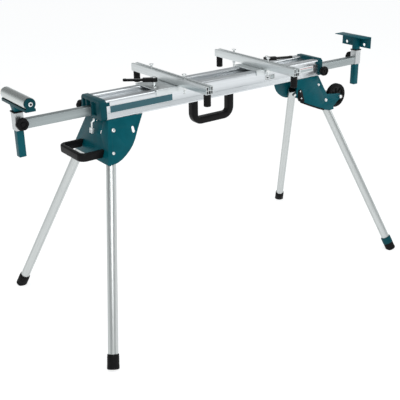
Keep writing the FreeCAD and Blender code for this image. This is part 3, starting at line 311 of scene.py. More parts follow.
# %% Inks
def ink(name, colour, roughness=0.38):
    material, tree, shader = start_material(name, colour, 0.0, roughness, Specular_IOR_Level=0.4)
    fibre = noise(tree, (0.0008, 0.0008, 0.0008), detail=2.0)
    fade = noise(tree, (0.05, 0.02, 0.02), detail=3.0)
    vary(tree, fade, shader, "Roughness", roughness - 0.04, roughness + 0.06)
    tint(tree, fade, shader, shade(colour, 0.94), shade(colour, 1.05))
    emboss(tree, shader, [fibre], 0.00001, 0.3)
    return material


STRIP_INK = ink("strip_teal_ink", (0.026, 0.100, 0.125), 0.5)
WHITE_INK = ink("plate_white_ink", (0.74, 0.77, 0.78))
GREY_INK = ink("plate_grey_ink", (0.42, 0.47, 0.48))
DARK_INK = ink("plate_dark_ink", (0.020, 0.024, 0.026))
RED_INK = ink("plate_red_ink", (0.38, 0.055, 0.050))
print("inks:", [material.name for material in bpy.data.materials if material.name.endswith("ink")])

# %% [markdown]
# ## Finishes on the CAD nodes
# A node whose shape is right keeps it and only gets its finish. The legs share one recipe but each
# has its own grain direction, worked out from its foot and its pivot.

# %% Dress the nodes
SLOPE_END, SLOPE_SIDE = 0.303, 0.421      # how far a leg leans outwards for each metre down
BEAM_UNDERSIDE = 0.749
LEG_X, LEG_Y = 0.477, 0.0483              # a leg's centre line where it passes the beam's underside
LEGS = [(f"{depth}_{side}", -1 if side == "left" else 1, -1 if depth == "front" else 1)
        for depth in ("front", "rear") for side in ("left", "right")]
ENDS = (("left", -1), ("right", 1))


def down_the_leg(side, depth):
    return Vector((side * SLOPE_END, depth * SLOPE_SIDE, -1)).normalized()


def dress(thing, *materials):
    """Give an object its finishes, in the order of its faces' slots. Clearing resets those slots."""
    if len(thing.data.materials):
        thing.data.materials.clear()
    for material in materials:
        thing.data.materials.append(material)


finish_of_slot = {
    "beam_alu": BEAM_ALUMINIUM, "tube_alu": TUBE_ALUMINIUM, "teal_paint": TEAL_PAINT,
    "teal_plastic": TEAL_PLASTIC, "black_plastic": BLACK_PLASTIC, "black_metal": LEVER_STEEL,
    "rubber": RUBBER, "tyre": TYRE, "zinc_steel": ZINC, "roller_plastic": ROLLER_STEEL,
    "leg_alu": BEAM_ALUMINIUM, "label": STRIP_INK,
}
finish_of_node = {node: finish_of_slot[slot] for node, slot in slot_of.items()}
for word, _ in ENDS:
    finish_of_node[f"arm_{word}"] = ARM_ALUMINIUM
    finish_of_node[f"clamp_base_{word}"] = ARM_ALUMINIUM
    finish_of_node[f"socket_{word}"] = SOCKET_ALUMINIUM
    finish_of_node[f"socket_collar_{word}"] = BLACK_PLASTIC
finish_of_node["carry_handle"] = finish_of_node["end_handle"] = BLACK_GRIP
finish_of_node["roller_end_plugs"] = BLACK_PLASTIC
# The cradle's teal is darker than TEAL as painted shade: its ears lie in shadow at the roller's ends.
finish_of_node["roller_cradle"] = powder_paint("cradle_teal_paint", (0.0010, 0.046, 0.058))
finish_of_node["latch_hook"] = zinc("brushed_zinc", (0.86, 0.88, 0.88), 0.42)
for word, side, depth in LEGS:
    finish_of_node[f"leg_tube_{word}"] = aluminium(f"leg_aluminium_{word}", (0.58, 0.605, 0.60),
                                                   down_the_leg(side, depth), 0.34)
for node, thing in frame["nodes"].items():
    dress(thing, finish_of_node[node])
print(len(finish_of_node), "nodes dressed")

# %% [markdown]
# ## Soft edges
# Nothing made in a factory has a perfectly sharp edge: sheet is deburred, plastic leaves its mould
# rounded, and it is the thin bright line along an edge that tells the eye what a thing is made of.
# A CAD mesh is loose triangles, so its copy is first merged, then its flat areas are joined, and
# only then a Bevel modifier can find the true edges. The width is the piece's own.

# %% Soft-edge helper
def add_piece(name, mesh, body, slot, *materials):
    """A finished mesh as a piece of the stand that moves with a body."""
    piece = bpy.data.objects.new(name, mesh)
    bpy.context.collection.objects.link(piece)
    dress(piece, *materials)
    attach(piece, body)
    return piece


def settle(piece, sharp=35):
    """Turn the live modifiers into plain mesh, smooth it, and keep the real corners sharp."""
    evaluated = piece.evaluated_get(bpy.context.evaluated_depsgraph_get())
    finished = bpy.data.meshes.new_from_object(evaluated)
    piece.modifiers.clear()
    piece.data = finished
    finished.polygons.foreach_set("use_smooth", [True] * len(finished.polygons))
    finished.set_sharp_from_angle(angle=math.radians(sharp))
    return piece


def soften(node, width, segments=2, angle=32):
    """Replace a node by its own shape with rounded edges."""
    mesh = frame["nodes"][node].data.copy()
    form = bmesh.new()
    form.from_mesh(mesh)
    bmesh.ops.remove_doubles(form, verts=form.verts, dist=0.00002)
    bmesh.ops.dissolve_limit(form, angle_limit=math.radians(1.5), verts=form.verts, edges=form.edges)
    form.to_mesh(mesh)
    form.free()
    piece = bpy.data.objects.new(f"soft_{node}", mesh)
    bpy.context.collection.objects.link(piece)
    bevel = piece.modifiers.new("soft edge", "BEVEL")
    bevel.width, bevel.segments, bevel.limit_method = width, segments, "ANGLE"
    bevel.angle_limit = math.radians(angle)
    settle(piece)
    dress(piece, finish_of_node[node])
    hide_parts(node)
    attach(piece, body_of[node])
    return piece


# %% Soften the bars, plates and mouldings
EDGE_WIDTHS = {"beam_extrusion": 0.0005, "carry_handle": 0.0060, "end_handle": 0.0050, "roller_cradle": 0.0007,
               "stop_plate": 0.0006, "latch_hook": 0.0006}
for word, _ in ENDS:
    EDGE_WIDTHS.update({f"end_cap_{word}": 0.0014, f"arm_{word}": 0.0006, f"clamp_base_{word}": 0.0008,
                        f"socket_{word}": 0.0020, f"socket_collar_{word}": 0.0010, f"clamp_lever_{word}": 0.0022,
                        f"extension_tube_{word}": 0.0008, f"post_{word}": 0.0010, f"leg_bracket_{word}": 0.0005})
for node, width in EDGE_WIDTHS.items():
    soften(node, width, segments=4 if width > 0.004 else 2)
print(len(EDGE_WIDTHS), "nodes with soft edges")

# %% [markdown]
# ## Turned pieces
# Knobs, wheels, boots and bolts are all round, so one lathe makes them. It is given rings, each a
# radius and a place along the axis, and optional lobes that push the radius in and out as the ring
# goes round. A ring of no radius closes into a single point, which keeps the end watertight.

# %% The lathe
def lathe(form, rings, place, steps=48, lobes=0, depth=0.0, slot=0, closed=False):
    """Turn rings of (radius, along) round the Z axis of a placement; lobes only grow on the outside."""
    widest = max(radius for radius, _ in rings)
    loops = []
    for radius, along in rings:
        if radius == 0:
            loops.append([form.verts.new(place @ Vector((0, 0, along)))])
            continue
        loop = []
        for step in range(steps):
            turn = 2 * math.pi * step / steps
            swell = 1 - depth * (radius / widest) ** 5 * (0.5 - 0.5 * math.cos(lobes * turn)) ** 3
            loop.append(form.verts.new(place @ Vector((radius * swell * math.cos(turn),
                                                       radius * swell * math.sin(turn), along))))
        loops.append(loop)
    pairs = list(zip(loops, loops[1:])) + ([(loops[-1], loops[0])] if closed else [])
    faces = []
    for first, second in pairs:
        for step in range(steps):
            after = (step + 1) % steps
            corners = ([first[0], second[step], second[after]] if len(first) == 1 else
                       [first[step], second[0], first[after]] if len(second) == 1 else
                       [first[step], second[step], second[after], first[after]])
            faces.append(form.faces.new(corners))
    for face in faces:
        face.material_index = slot
    return faces


def finish_form(form, name, sharp=35):
    """Point every face outwards and make a smooth mesh with sharp corners kept."""
    bmesh.ops.recalc_face_normals(form, faces=form.faces)
    mesh = bpy.data.meshes.new(name)
    form.to_mesh(mesh)
    form.free()
    mesh.polygons.foreach_set("use_smooth", [True] * len(mesh.polygons))
    mesh.set_sharp_from_angle(angle=math.radians(sharp))
    return mesh


def axis_place(spot, axis):
    """A placement whose Z axis runs along a direction."""
    return Matrix.Translation(Vector(spot)) @ Vector(axis).to_track_quat("Z", "Y").to_matrix().to_4x4()


MM = 0.001


def in_metres(rings):
    return [(radius * MM, along * MM) for radius, along in rings]


# %% [markdown]
# ## Clamping knobs
# Each knob is a black moulding with six lobes for the fingers and a dished face, pressed on a zinc
# screw. The lathe's lobes make the grip, and the place and the direction come from the knob's own
# joint and box, so the knob fills exactly the space its solid has.

# %% Knobs
KNOB_THICKNESS = 18 * MM
for word, _ in ENDS:
    for kind in ("extension", "post"):
        node = f"{kind}_knob_{word}"
        joint = joints[f"{kind}_knob_turn_{word}"]
        low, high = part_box(node)
        outwards = -1 if joint["axis"][1] < 0 else 1
        outer_face = low[1] if outwards < 0 else high[1]
        radius = (high[0] - low[0]) / 2
        centre = Vector(((low[0] + high[0]) / 2, outer_face - outwards * KNOB_THICKNESS, (low[2] + high[2]) / 2))
        place = axis_place(centre, (0, outwards, 0))
        form = bmesh.new()
        lathe(form, [(share * radius, along * MM) for share, along in (
            (0, 0), (0.78, 0), (0.92, 1.6), (1.0, 4.6), (1.0, 13.2), (0.96, 15.8), (0.88, 17.6), (0.80, 18),
            (0.62, 18), (0.56, 17.2), (0.52, 14.6), (0.34, 14.2), (0.31, 16.0), (0.24, 16.6), (0, 16.8))],
            place, steps=72, lobes=6, depth=0.09)
        lathe(form, in_metres([(0, -6), (9.2, -6), (10, -5.2), (10, 0.2), (0, 0.2)]), place, steps=32)
        screw_end = abs((high[1] if outwards < 0 else low[1]) - outer_face) - KNOB_THICKNESS
        lathe(form, [(0, -screw_end), (3.2 * MM, -screw_end), (4 * MM, 1 * MM - screw_end), (4 * MM, -5.8 * MM),
                     (0, -5.8 * MM)], place, steps=24, slot=1)
        knob = add_piece(f"lobed_{node}", finish_form(form, node), body_of[node], slot_of[node], BLACK_PLASTIC, ZINC)
        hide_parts(node)
print("knob radius", round(radius * 1000, 1), "mm")

# %% [markdown]
# ## Wheels
# A solid rubber tyre on a moulded centre. The tread has two grooves round it, the centre is dished
# on both faces, and ribs stiffen the dish. The ribs repeat round the axle, so Geometry Nodes make
# them: a box is set on the points of a circle and turned to follow it.

# %% Spoke tree
def open_tree(name, inputs):
    """A Geometry Nodes tree with named inputs; returns the tree, its input node and its output node."""
    tree = bpy.data.node_groups.new(name, "GeometryNodeTree")
    tree.interface.new_socket("Geometry", in_out="INPUT", socket_type="NodeSocketGeometry")
    tree.interface.new_socket("Geometry", in_out="OUTPUT", socket_type="NodeSocketGeometry")
    for label, kind, value in inputs:
        socket = tree.interface.new_socket(label, in_out="INPUT", socket_type=kind)
        if value is not None:
            socket.default_value = value
    return tree, tree.nodes.new("NodeGroupInput"), tree.nodes.new("NodeGroupOutput")


def close_tree(tree, given, instances, result):
    """End a tree with real mesh and its finish, because instances don't leave Blender."""
    real, painted = tree.nodes.new("GeometryNodeRealizeInstances"), tree.nodes.new("GeometryNodeSetMaterial")
    tree.links.new(instances, real.inputs[0])
    tree.links.new(real.outputs[0], painted.inputs["Geometry"])
    tree.links.new(given.outputs["Finish"], painted.inputs["Material"])
    tree.links.new(painted.outputs[0], result.inputs[0])


def run_tree(tree, name, mesh, **values):
    """Run a tree on a mesh with its inputs set by identifier, and give back the plain mesh."""
    carrier = bpy.data.objects.new(name, mesh)
    bpy.context.collection.objects.link(carrier)
    modifier = carrier.modifiers.new("tree", "NODES")
    modifier.node_group = tree
    for item in tree.interface.items_tree:
        if item.in_out == "INPUT" and item.name.replace(" ", "_") in values:
            modifier[item.identifier] = values[item.name.replace(" ", "_")]
    settle(carrier)
    made = carrier.data
    bpy.data.objects.remove(carrier)
    return made


def build_spoke_tree():
    tree, given, result = open_tree("wheel_spokes", [
        ("Count", "NodeSocketInt", 6), ("Middle Radius", "NodeSocketFloat", 0.025),
        ("Length", "NodeSocketFloat", 0.023), ("Height", "NodeSocketFloat", 0.008),
        ("Thickness", "NodeSocketFloat", 0.003), ("Finish", "NodeSocketMaterial", None)])
    circle, size = tree.nodes.new("GeometryNodeMeshCircle"), tree.nodes.new("ShaderNodeCombineXYZ")
    rib = tree.nodes.new("GeometryNodeMeshCube")
    spread = tree.nodes.new("GeometryNodeInstanceOnPoints")
    outward = tree.nodes.new("GeometryNodeInputPosition")
    turned = tree.nodes.new("FunctionNodeAlignEulerToVector")
    turned.axis = "X"
    turned.pivot_axis = "Z"
    for source, target in ((given.outputs["Count"], circle.inputs["Vertices"]),
                           (given.outputs["Middle Radius"], circle.inputs["Radius"]),
                           (given.outputs["Length"], size.inputs["X"]),
                           (given.outputs["Thickness"], size.inputs["Y"]),
                           (given.outputs["Height"], size.inputs["Z"]), (size.outputs[0], rib.inputs["Size"]),
                           (circle.outputs["Mesh"], spread.inputs["Points"]),
                           (rib.outputs["Mesh"], spread.inputs["Instance"]),
                           (outward.outputs[0], turned.inputs["Vector"]),
                           (turned.outputs[0], spread.inputs["Rotation"])):
        tree.links.new(source, target)
    close_tree(tree, given, spread.outputs[0], result)
    return tree


SPOKES = build_spoke_tree()

# %% Wheels
TREAD = [(50, 2.2), (49.0, 2.7), (49.0, 4.0), (50, 4.6), (49.7, 7.6), (48.2, 10.4), (45.5, 12), (39, 12)]
TYRE_RINGS = TREAD + [(37.4, 11.2)] + [(37.4, -11.2)] + [(radius, -along) for radius, along in reversed(TREAD)]
CENTRE_RINGS = [(37.4, 10.6), (36.2, 11.4), (35.0, 10.6), (34.2, 4.2), (15.6, 4.2), (14, 5.4),
                (13.6, 11.4), (12.8, 12), (6.3, 12)]
CENTRE_RINGS = CENTRE_RINGS + [(radius, -along) for radius, along in reversed(CENTRE_RINGS)]
for word in ("front", "rear"):
    node = f"wheel_{word}"
    low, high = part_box(node)
    middle = Vector([(first + last) / 2 for first, last in zip(low, high)])
    place = axis_place(middle, (0, 1, 0))
    form = bmesh.new()
    lathe(form, in_metres(TYRE_RINGS), place, steps=96, closed=True)
    lathe(form, in_metres(CENTRE_RINGS), place, steps=64, slot=1, closed=True)
    ribs = run_tree(SPOKES, "spokes", bpy.data.meshes.new("no_points"), Finish=WHEEL_PLASTIC, Count=8,
                    Middle_Radius=0.0247, Length=0.0215, Height=0.0175, Thickness=0.0026)
    ribs.transform(place)
    before = len(form.faces)
    form.from_mesh(ribs)
    form.faces.ensure_lookup_table()
    for face in form.faces[before:]:
        face.material_index = 1
    wheel = add_piece(f"ribbed_{node}", finish_form(form, node), body_of[node], slot_of[node], TYRE, WHEEL_PLASTIC)
    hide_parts(node)
    print(node, "at", [round(value, 4) for value in middle], "with", len(wheel.data.polygons), "faces")

# %% [markdown]
# ## Rubber boots
# A boot is pushed over the foot of each leg. It flares a little towards the floor, has raised rings
# where it grips the tube, and is worn flat where it stands, so the turned shape is cut at the floor
# and the cut is closed. The front right boot is shorter and screws in and out under a teal collar.

# %% Boots and collar
def foot_place(side, depth):
    """On the leg's centre line at the floor, with Z up the leg."""
    spot = Vector((side * (LEG_X + SLOPE_END * BEAM_UNDERSIDE),
                   depth * (LEG_Y + SLOPE_SIDE * BEAM_UNDERSIDE), 0))
    return axis_place(spot, -down_the_leg(side, depth))


def cut_at_floor(form):
    cut = bmesh.ops.bisect_plane(form, geom=form.verts[:] + form.edges[:] + form.faces[:], dist=1e-7,
                                 plane_co=(0, 0, 0), plane_no=(0, 0, 1), clear_inner=True)
    rim = [edge for edge in cut["geom_cut"] if isinstance(edge, bmesh.types.BMEdge)]
    bmesh.ops.edgeloop_fill(form, edges=rim)


for word, side, depth in LEGS:
    node = f"foot_{word}"
    top, bore = (32, 17.3) if word == "front_right" else (50, 17.05)
    rings = [(0, 0), (18.2, 0), (20.3, 1.2), (20.95, 3.4), (20.6, 12)]
    for mark in ((20, 27) if top < 40 else (26, 33, 40)):
        rings += [(20.0, mark - 2.6), (20.55, mark - 1.8), (20.55, mark + 0.6), (20.0, mark + 1.4)]
    rings += [(19.7, top - 1.2), (19.2, top), (bore, top), (bore, 12), (0, 12)]
    form = bmesh.new()
    lathe(form, in_metres(rings), foot_place(side, depth), steps=64)
    cut_at_floor(form)
    boot = add_piece(f"boot_{word}", finish_form(form, node, 40), body_of[node], slot_of[node], RUBBER)
    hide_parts(node)

form = bmesh.new()
lathe(form, in_metres([(17.3, 32.2), (20.6, 32.2), (21.2, 33.2), (21.1, 38), (20.9, 58), (20.4, 60.6), (19.4, 61.8),
                       (17.3, 61.8)]), foot_place(1, -1), steps=72, lobes=18, depth=0.035, closed=True)
collar = add_piece("fluted_levelling_collar", finish_form(form, "collar"), body_of["levelling_collar"],
                   slot_of["levelling_collar"], TEAL_PLASTIC)
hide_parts("levelling_collar")

# %% [markdown]
# ## Saw arm feet and bolts
# Under both ends of each arm sits a ribbed rubber foot. Each arm carries two saw mounting bolts: a
# knurled thumb head above, a square neck that can't turn in the slot, a threaded shank, and a hex
# nut below. A thread is close rings here, because at this size a helix and rings look the same.

# %% Arm feet and bolts
BOLT_PLACES = {"left": (-0.091, 0.119), "right": (-0.078, 0.130)}
GRIP_GROOVE = ((12.9, 0), (12.1, 0.9), (12.1, 2.1), (12.9, 3))
FOOT_RINGS = [(0, 0), (10.6, 0), (12.2, 0.8), (12.8, 2.4), (12.8, 8)] + [
    (radius, mark + step) for mark in (10, 17, 24, 31) for radius, step in GRIP_GROOVE
] + [(12.9, 41), (12.2, 44), (0, 44)]
THUMB_HEAD = [(0, -5.5), (4.4, -5.5), (5.0, -4.6), (8.0, -3.4), (8.45, -2.6), (8.45, -1.0), (7.6, -0.2), (6.6, 0),
              (4.4, 0), (3.9, -0.7), (0, -0.9)]


def thread(radius, low, high, pitch=1.5):
    """Rings of a screw thread from one height to another."""
    rings, mark = [(0, low), (radius * 0.72, low)], low + 0.8
    while mark + pitch < high:
        rings += [(radius, mark), (radius * 0.88, mark + pitch / 2)]
        mark += pitch
    return rings + [(radius, high), (0, high)]


for word, _ in ENDS:
    low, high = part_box(f"arm_{word}")
    arm_x, arm_low, arm_web = (low[0] + high[0]) / 2, low[2], low[2] + 15 * MM
    form = bmesh.new()
    for y in (-0.225, 0.225):
        lathe(form, in_metres(FOOT_RINGS), axis_place((arm_x, y, arm_low - 0.044), UPRIGHT), steps=40)
    feet = add_piece(f"ribbed_arm_feet_{word}", finish_form(form, "arm_feet", 50), body_of[f"arm_feet_{word}"],
                     slot_of[f"arm_feet_{word}"], RUBBER)
    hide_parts(f"arm_feet_{word}")
    bolt_low, bolt_high = (corner[2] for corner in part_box(f"arm_bolts_{word}"))
    form = bmesh.new()
    for y in BOLT_PLACES[word]:
        lathe(form, in_metres(THUMB_HEAD), axis_place((arm_x, y, bolt_high), UPRIGHT), steps=60, lobes=20, depth=0.07)
        length = (bolt_high - bolt_low) / MM
        lathe(form, in_metres(thread(4, 0, length - 5.4)), axis_place((arm_x, y, bolt_low), UPRIGHT), steps=20)
        lathe(form, in_metres([(0, 0), (5.8, 0), (6.45, 0.8), (6.45, 11.2), (5.8, 12), (0, 12)]),
              axis_place((arm_x, y, arm_low - 0.012), UPRIGHT), steps=6)
        lathe(form, in_metres([(0, 1), (5.9, 1), (5.9, 6), (0, 6)]),
              axis_place((arm_x, y, arm_web - 1 * MM), UPRIGHT) @ Matrix.Rotation(math.pi / 4, 4, "Z"), steps=4)
    bolts = add_piece(f"saw_bolts_{word}", finish_form(form, "bolts"), body_of[f"arm_bolts_{word}"],
                      slot_of[f"arm_bolts_{word}"], ZINC)
    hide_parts(f"arm_bolts_{word}")
print("bolts run from", round(bolt_low, 3), "to", round(bolt_high, 3))

# %% [markdown]
# ## Bolts and rivets in the brackets
# The legs turn on four bolts, and rivets hold the lock plates behind the sheet. All have low domed
# heads that lie on the leaning side plates. The same rivet sits in many places, so Geometry Nodes
# set it: the points of a small mesh say where, and their normals say which way the head faces.

# %% Rivet tree
def build_rivet_tree():
    tree, given, result = open_tree("domed_rivets", [
        ("Radius", "NodeSocketFloat", 0.006), ("Dome", "NodeSocketFloat", 0.55),
        ("Finish", "NodeSocketMaterial", None)])
    ball, half = tree.nodes.new("GeometryNodeMeshUVSphere"), tree.nodes.new("GeometryNodeTransform")
    ball.inputs["Segments"].default_value, ball.inputs["Rings"].default_value = 24, 12
    flat = tree.nodes.new("ShaderNodeCombineXYZ")
    spread = tree.nodes.new("GeometryNodeInstanceOnPoints")
    flat.inputs["X"].default_value = flat.inputs["Y"].default_value = 1
    facing = tree.nodes.new("GeometryNodeInputNormal")
    turned = tree.nodes.new("FunctionNodeAlignEulerToVector")
    turned.axis = "Z"
    for source, target in ((given.outputs["Radius"], ball.inputs["Radius"]),
                           (given.outputs["Dome"], flat.inputs["Z"]),
                           (ball.outputs["Mesh"], half.inputs["Geometry"]), (flat.outputs[0], half.inputs["Scale"]),
                           (given.outputs["Geometry"], spread.inputs["Points"]),
                           (half.outputs["Geometry"], spread.inputs["Instance"]),
                           (facing.outputs[0], turned.inputs["Vector"]),
                           (turned.outputs[0], spread.inputs["Rotation"])):
        tree.links.new(source, target)
    close_tree(tree, given, spread.outputs[0], result)
    return tree


RIVETS = build_rivet_tree()
TINY = 1e-5
PLATE_Y, LEG_TO_PLATE = 0.0705, 0.0222       # the side plate there, and how far it lies outside the leg
PIVOT_HEIGHT = {-1: 0.708, 1: 0.645}         # by end: the left bracket is -1, the right one is 1
LOCK_HEIGHT = {-1: 0.638, 1: 0.708}
BIG_RIVET, SMALL_RIVET = 0.0058, 0.0039


def out_of_plate(depth):
    """Which way a leaning side plate faces."""
    return Vector((0, depth, SLOPE_SIDE)).normalized()


def on_plate(x, depth, z):
    """A point on a side plate's outer face."""
    return Vector((x, depth * (PLATE_Y + SLOPE_SIDE * (BEAM_UNDERSIDE - z)), z))


def leg_spot(side, depth, z):
    """Where a leg's centre line is at a height, carried out to the plate's face."""
    centre = Vector((side * (LEG_X + SLOPE_END * (BEAM_UNDERSIDE - z)),
                     depth * (LEG_Y + SLOPE_SIDE * (BEAM_UNDERSIDE - z)), z))
    return centre + out_of_plate(depth) * LEG_TO_PLATE / math.hypot(1, SLOPE_SIDE)


def points_facing(places):
    """A mesh with one tiny triangle for each place, whose corners carry the normal.

    Each of the three corners gets a rivet, so three heads lie within 0.01 mm and look like one.
    """
    form = bmesh.new()
    for spot, facing in places:
        across = facing.orthogonal().normalized() * TINY
        corners = [form.verts.new(spot), form.verts.new(spot + across), form.verts.new(spot + facing.cross(across))]
        form.faces.new(corners)
    mesh = bpy.data.meshes.new("places")
    form.to_mesh(mesh)
    form.free()
    return mesh


# %% Rivets
ROUND_RIVETS = [(leg_spot(side, depth, LOCK_HEIGHT[side]), out_of_plate(depth), BIG_RIVET)
                for _, side, depth in LEGS]
ROUND_RIVETS += [(on_plate(x, -1, z), out_of_plate(-1), SMALL_RIVET)
                 for x, z in ((0.381, 0.706), (0.378, 0.680))]
form = bmesh.new()
for size in (BIG_RIVET, SMALL_RIVET):
    spots = [(spot, facing) for spot, facing, radius in ROUND_RIVETS if radius == size]
    heads = run_tree(RIVETS, "rivets", points_facing(spots), Radius=size, Dome=0.58, Finish=ZINC)
    form.from_mesh(heads)
rivets = add_piece("domed_rivets", finish_form(form, "rivets"), "frame", slot_of["bracket_rivets"], ZINC)
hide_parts("bracket_rivets")
print(len(ROUND_RIVETS), "rivets,", len(rivets.data.polygons), "faces")

# %% Pivot bolts
form = bmesh.new()
for word, side, depth in LEGS:
    place = axis_place(leg_spot(side, depth, PIVOT_HEIGHT[side]), out_of_plate(depth))
    lathe(form, in_metres([(0, -43.5), (5, -43.5), (5, 0), (7.5, 0), (7.5, 1.2), (6.8, 2.6), (5.2, 3.8), (2.8, 4.4),
                           (0, 4.5)]), place, steps=32)
    lathe(form, in_metres([(0, -44), (7.6, -44), (8.4, -43.3), (8.4, -38.7), (7.6, -38), (0, -38)]), place, steps=6)
pivots = add_piece("leg_pivot_bolt_set", finish_form(form, "pivots"), "frame", slot_of["leg_pivot_bolts"], ZINC)
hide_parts("leg_pivot_bolts")
print("pivot bolts:", len(LEGS))

# %% [markdown]
# ## Axles and clamp studs
# The wheel axle has a domed head outside each tongue. The roller turns on a rod held by a socket
# head screw at each end: a bright ring round a recess whose black is painted shade. The clamp studs
# end in a domed nut on top of the black lever.

# %% Axles, roller ends, studs
low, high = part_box("wheel_axle")
place = axis_place(((low[0] + high[0]) / 2, 0, (low[2] + high[2]) / 2), (0, 1, 0))
reach = high[1] / MM
form = bmesh.new()
lathe(form, in_metres([(0, -reach), (3, -reach + 0.2), (6, -reach + 1.6), (7.5, -reach + 4), (7.5, -reach + 6),
                       (6, -reach + 6), (6, -71.5), (9, -71.5), (9, 71.5), (6, 71.5), (6, reach - 6),
                       (7.5, reach - 6), (7.5, reach - 4), (6, reach - 1.6), (3, reach - 0.2), (0, reach)]), place,
      steps=36)
axle = add_piece("domed_wheel_axle", finish_form(form, "axle"), "frame", slot_of["wheel_axle"], ZINC)
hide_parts("wheel_axle")

low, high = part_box("roller_axle")
front, back = low[1] / MM, high[1] / MM
place = axis_place(((low[0] + high[0]) / 2, 0, (low[2] + high[2]) / 2), (0, 1, 0))
form = bmesh.new()
lathe(form, in_metres([(0, front + 1.8), (3.8, front + 1.8), (4.0, front), (6.2, front), (7.5, front + 1.2),
                       (7.5, front + 5), (4, front + 5), (4, back - 5), (7.5, back - 5), (7.5, back - 1.2),
                       (6.2, back), (4.0, back), (3.8, back - 1.8), (0, back - 1.8)]), place, steps=36)
# The faces inside each screw head's recess get black plastic: painted shade in the hole.
for face in form.faces:
    spot = place.inverted() @ face.calc_center_median()
    if math.hypot(spot.x, spot.y) < 3.9 * MM and min(abs(spot.z - low[1]), abs(spot.z - high[1])) < 2 * MM:
        face.material_index = 1
roller_screws = add_piece("roller_socket_screws", finish_form(form, "roller_screws"), body_of["roller_axle"],
                          slot_of["roller_axle"], ZINC, BLACK_PLASTIC)
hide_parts("roller_axle")

for word, _ in ENDS:
    node = f"clamp_stud_{word}"
    low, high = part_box(node)
    lever_low, lever_high = (corner[2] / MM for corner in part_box(f"clamp_lever_{word}"))
    bottom, top = low[2] / MM, high[2] / MM
    place = axis_place(((low[0] + high[0]) / 2, (low[1] + high[1]) / 2, 0), UPRIGHT)
    form = bmesh.new()
    lathe(form, in_metres([(0, bottom), (4, bottom), (4, lever_low - 14), (8, lever_low - 13.6), (8, lever_low - 0.4),
                           (4, lever_low - 0.3), (4, lever_high + 0.3), (0, lever_high + 0.3)]), place, steps=32)
    lathe(form, in_metres([(0, lever_high + 0.3), (6.4, lever_high + 0.3), (7, lever_high + 0.9), (7, top - 2.4),
                           (5.6, top - 0.7), (3, top - 0.1), (0, top)]), place, steps=32)
    stud = add_piece(f"domed_{node}", finish_form(form, node), body_of[node], slot_of[node], ZINC)
    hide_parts(node)
print("axles and studs made")

# %% [markdown]
# ## The printed plates themselves
# Each plate is a thin block whose front is divided into a grid of panels. The panels are worked out
# from a list of columns and rows, and each takes an ink: a light border round a teal field on the
# long strip, plain dark blocks on the white guide plate, and one red line on the pale third plate.

# %% Plates
def plate(form, x_cuts, z_cuts, front, back, choose):
    """A thin block with its front cut into panels; choose gives the slot of a panel's centre."""
    def face(corners, slot):
        made = form.faces.new([form.verts.new(corner) for corner in corners])
        made.material_index = slot
    for left, right in zip(x_cuts, x_cuts[1:]):
        for low, high in zip(z_cuts, z_cuts[1:]):
            slot = choose((left + right) / 2, (low + high) / 2)
            face([(left, front, low), (right, front, low), (right, front, high), (left, front, high)], slot)
            face([(left, back, low), (left, back, high), (right, back, high), (right, back, low)], 1)
    for low, high in zip(z_cuts, z_cuts[1:]):
        for x, order in ((x_cuts[0], 1), (x_cuts[-1], -1)):
            face([(x, back, low), (x, front, low), (x, front, high), (x, back, high)][::order], 1)
    for left, right in zip(x_cuts, x_cuts[1:]):
        for z, order in ((z_cuts[0], 1), (z_cuts[-1], -1)):
            face([(left, back, z), (right, back, z), (right, front, z), (left, front, z)][::order], 1)


low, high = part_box("label_plates")
front, back = low[1], high[1]
bottom, top = low[2], high[2]
form = bmesh.new()
strip_left, strip_right, rim = low[0], -0.229, 1.2 * MM
plate(form, [strip_left, strip_left + rim, strip_right - rim, strip_right],
      [bottom, bottom + rim, top - rim, top], front, back,
      lambda x, z: 0 if strip_left + rim < x < strip_right - rim and bottom + rim < z < top - rim else 1)
guide_left, guide_right, guide_low, guide_high = 0.209, 0.261, bottom + 3 * MM, top - 3 * MM
# Two dark frames with a plain block in the first: (left, right, low, high, slot), the last one wins.
FRAME_LOW, FRAME_HIGH = guide_low + 2 * MM, guide_high - 2 * MM
FRAME_LINE = 1.8 * MM
BLOCKS = ((0.2120, 0.2340, FRAME_LOW, FRAME_HIGH, 3),
          (0.2138, 0.2322, FRAME_LOW + FRAME_LINE, FRAME_HIGH - FRAME_LINE, 1),
          (0.2175, 0.2285, FRAME_LOW + 5 * MM, FRAME_HIGH - 5 * MM, 3),
          (0.2380, 0.2580, FRAME_LOW, FRAME_HIGH, 3),
          (0.2398, 0.2562, FRAME_LOW + FRAME_LINE, FRAME_HIGH - FRAME_LINE, 2))
x_cuts = sorted({guide_left, guide_right, *(x for block in BLOCKS for x in block[:2])})
z_cuts = sorted({guide_low, guide_high, *(z for block in BLOCKS for z in block[2:4])})
plate(form, x_cuts, z_cuts, front, back, lambda x, z: [1, *(
    slot for first, last, under, over, slot in BLOCKS if first < x < last and under < z < over)][-1])
info_left, info_right, info_low, info_high = 0.398, 0.472, bottom + 2 * MM, top - 1 * MM
plate(form, [info_left, info_left + 3 * MM, info_right - 3 * MM, info_right],
      [info_low, info_low + 3 * MM, info_low + 13 * MM, info_high - 7 * MM, info_high - 5 * MM, info_high],
      front, back,
      lambda x, z: 4 if info_high - 7 * MM < z < info_high - 5 * MM and x > info_left + 3 * MM else
      (2 if info_low + 3 * MM < z < info_low + 13 * MM and info_left + 3 * MM < x < info_right - 3 * MM else 1))
bmesh.ops.remove_doubles(form, verts=form.verts, dist=1e-6)
plates = add_piece("printed_plates", finish_form(form, "plates"), "frame", slot_of["label_plates"],
                   STRIP_INK, WHITE_INK, GREY_INK, DARK_INK, RED_INK)
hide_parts("label_plates")
print("plates lie between", round(front, 4), "and", round(back, 4))
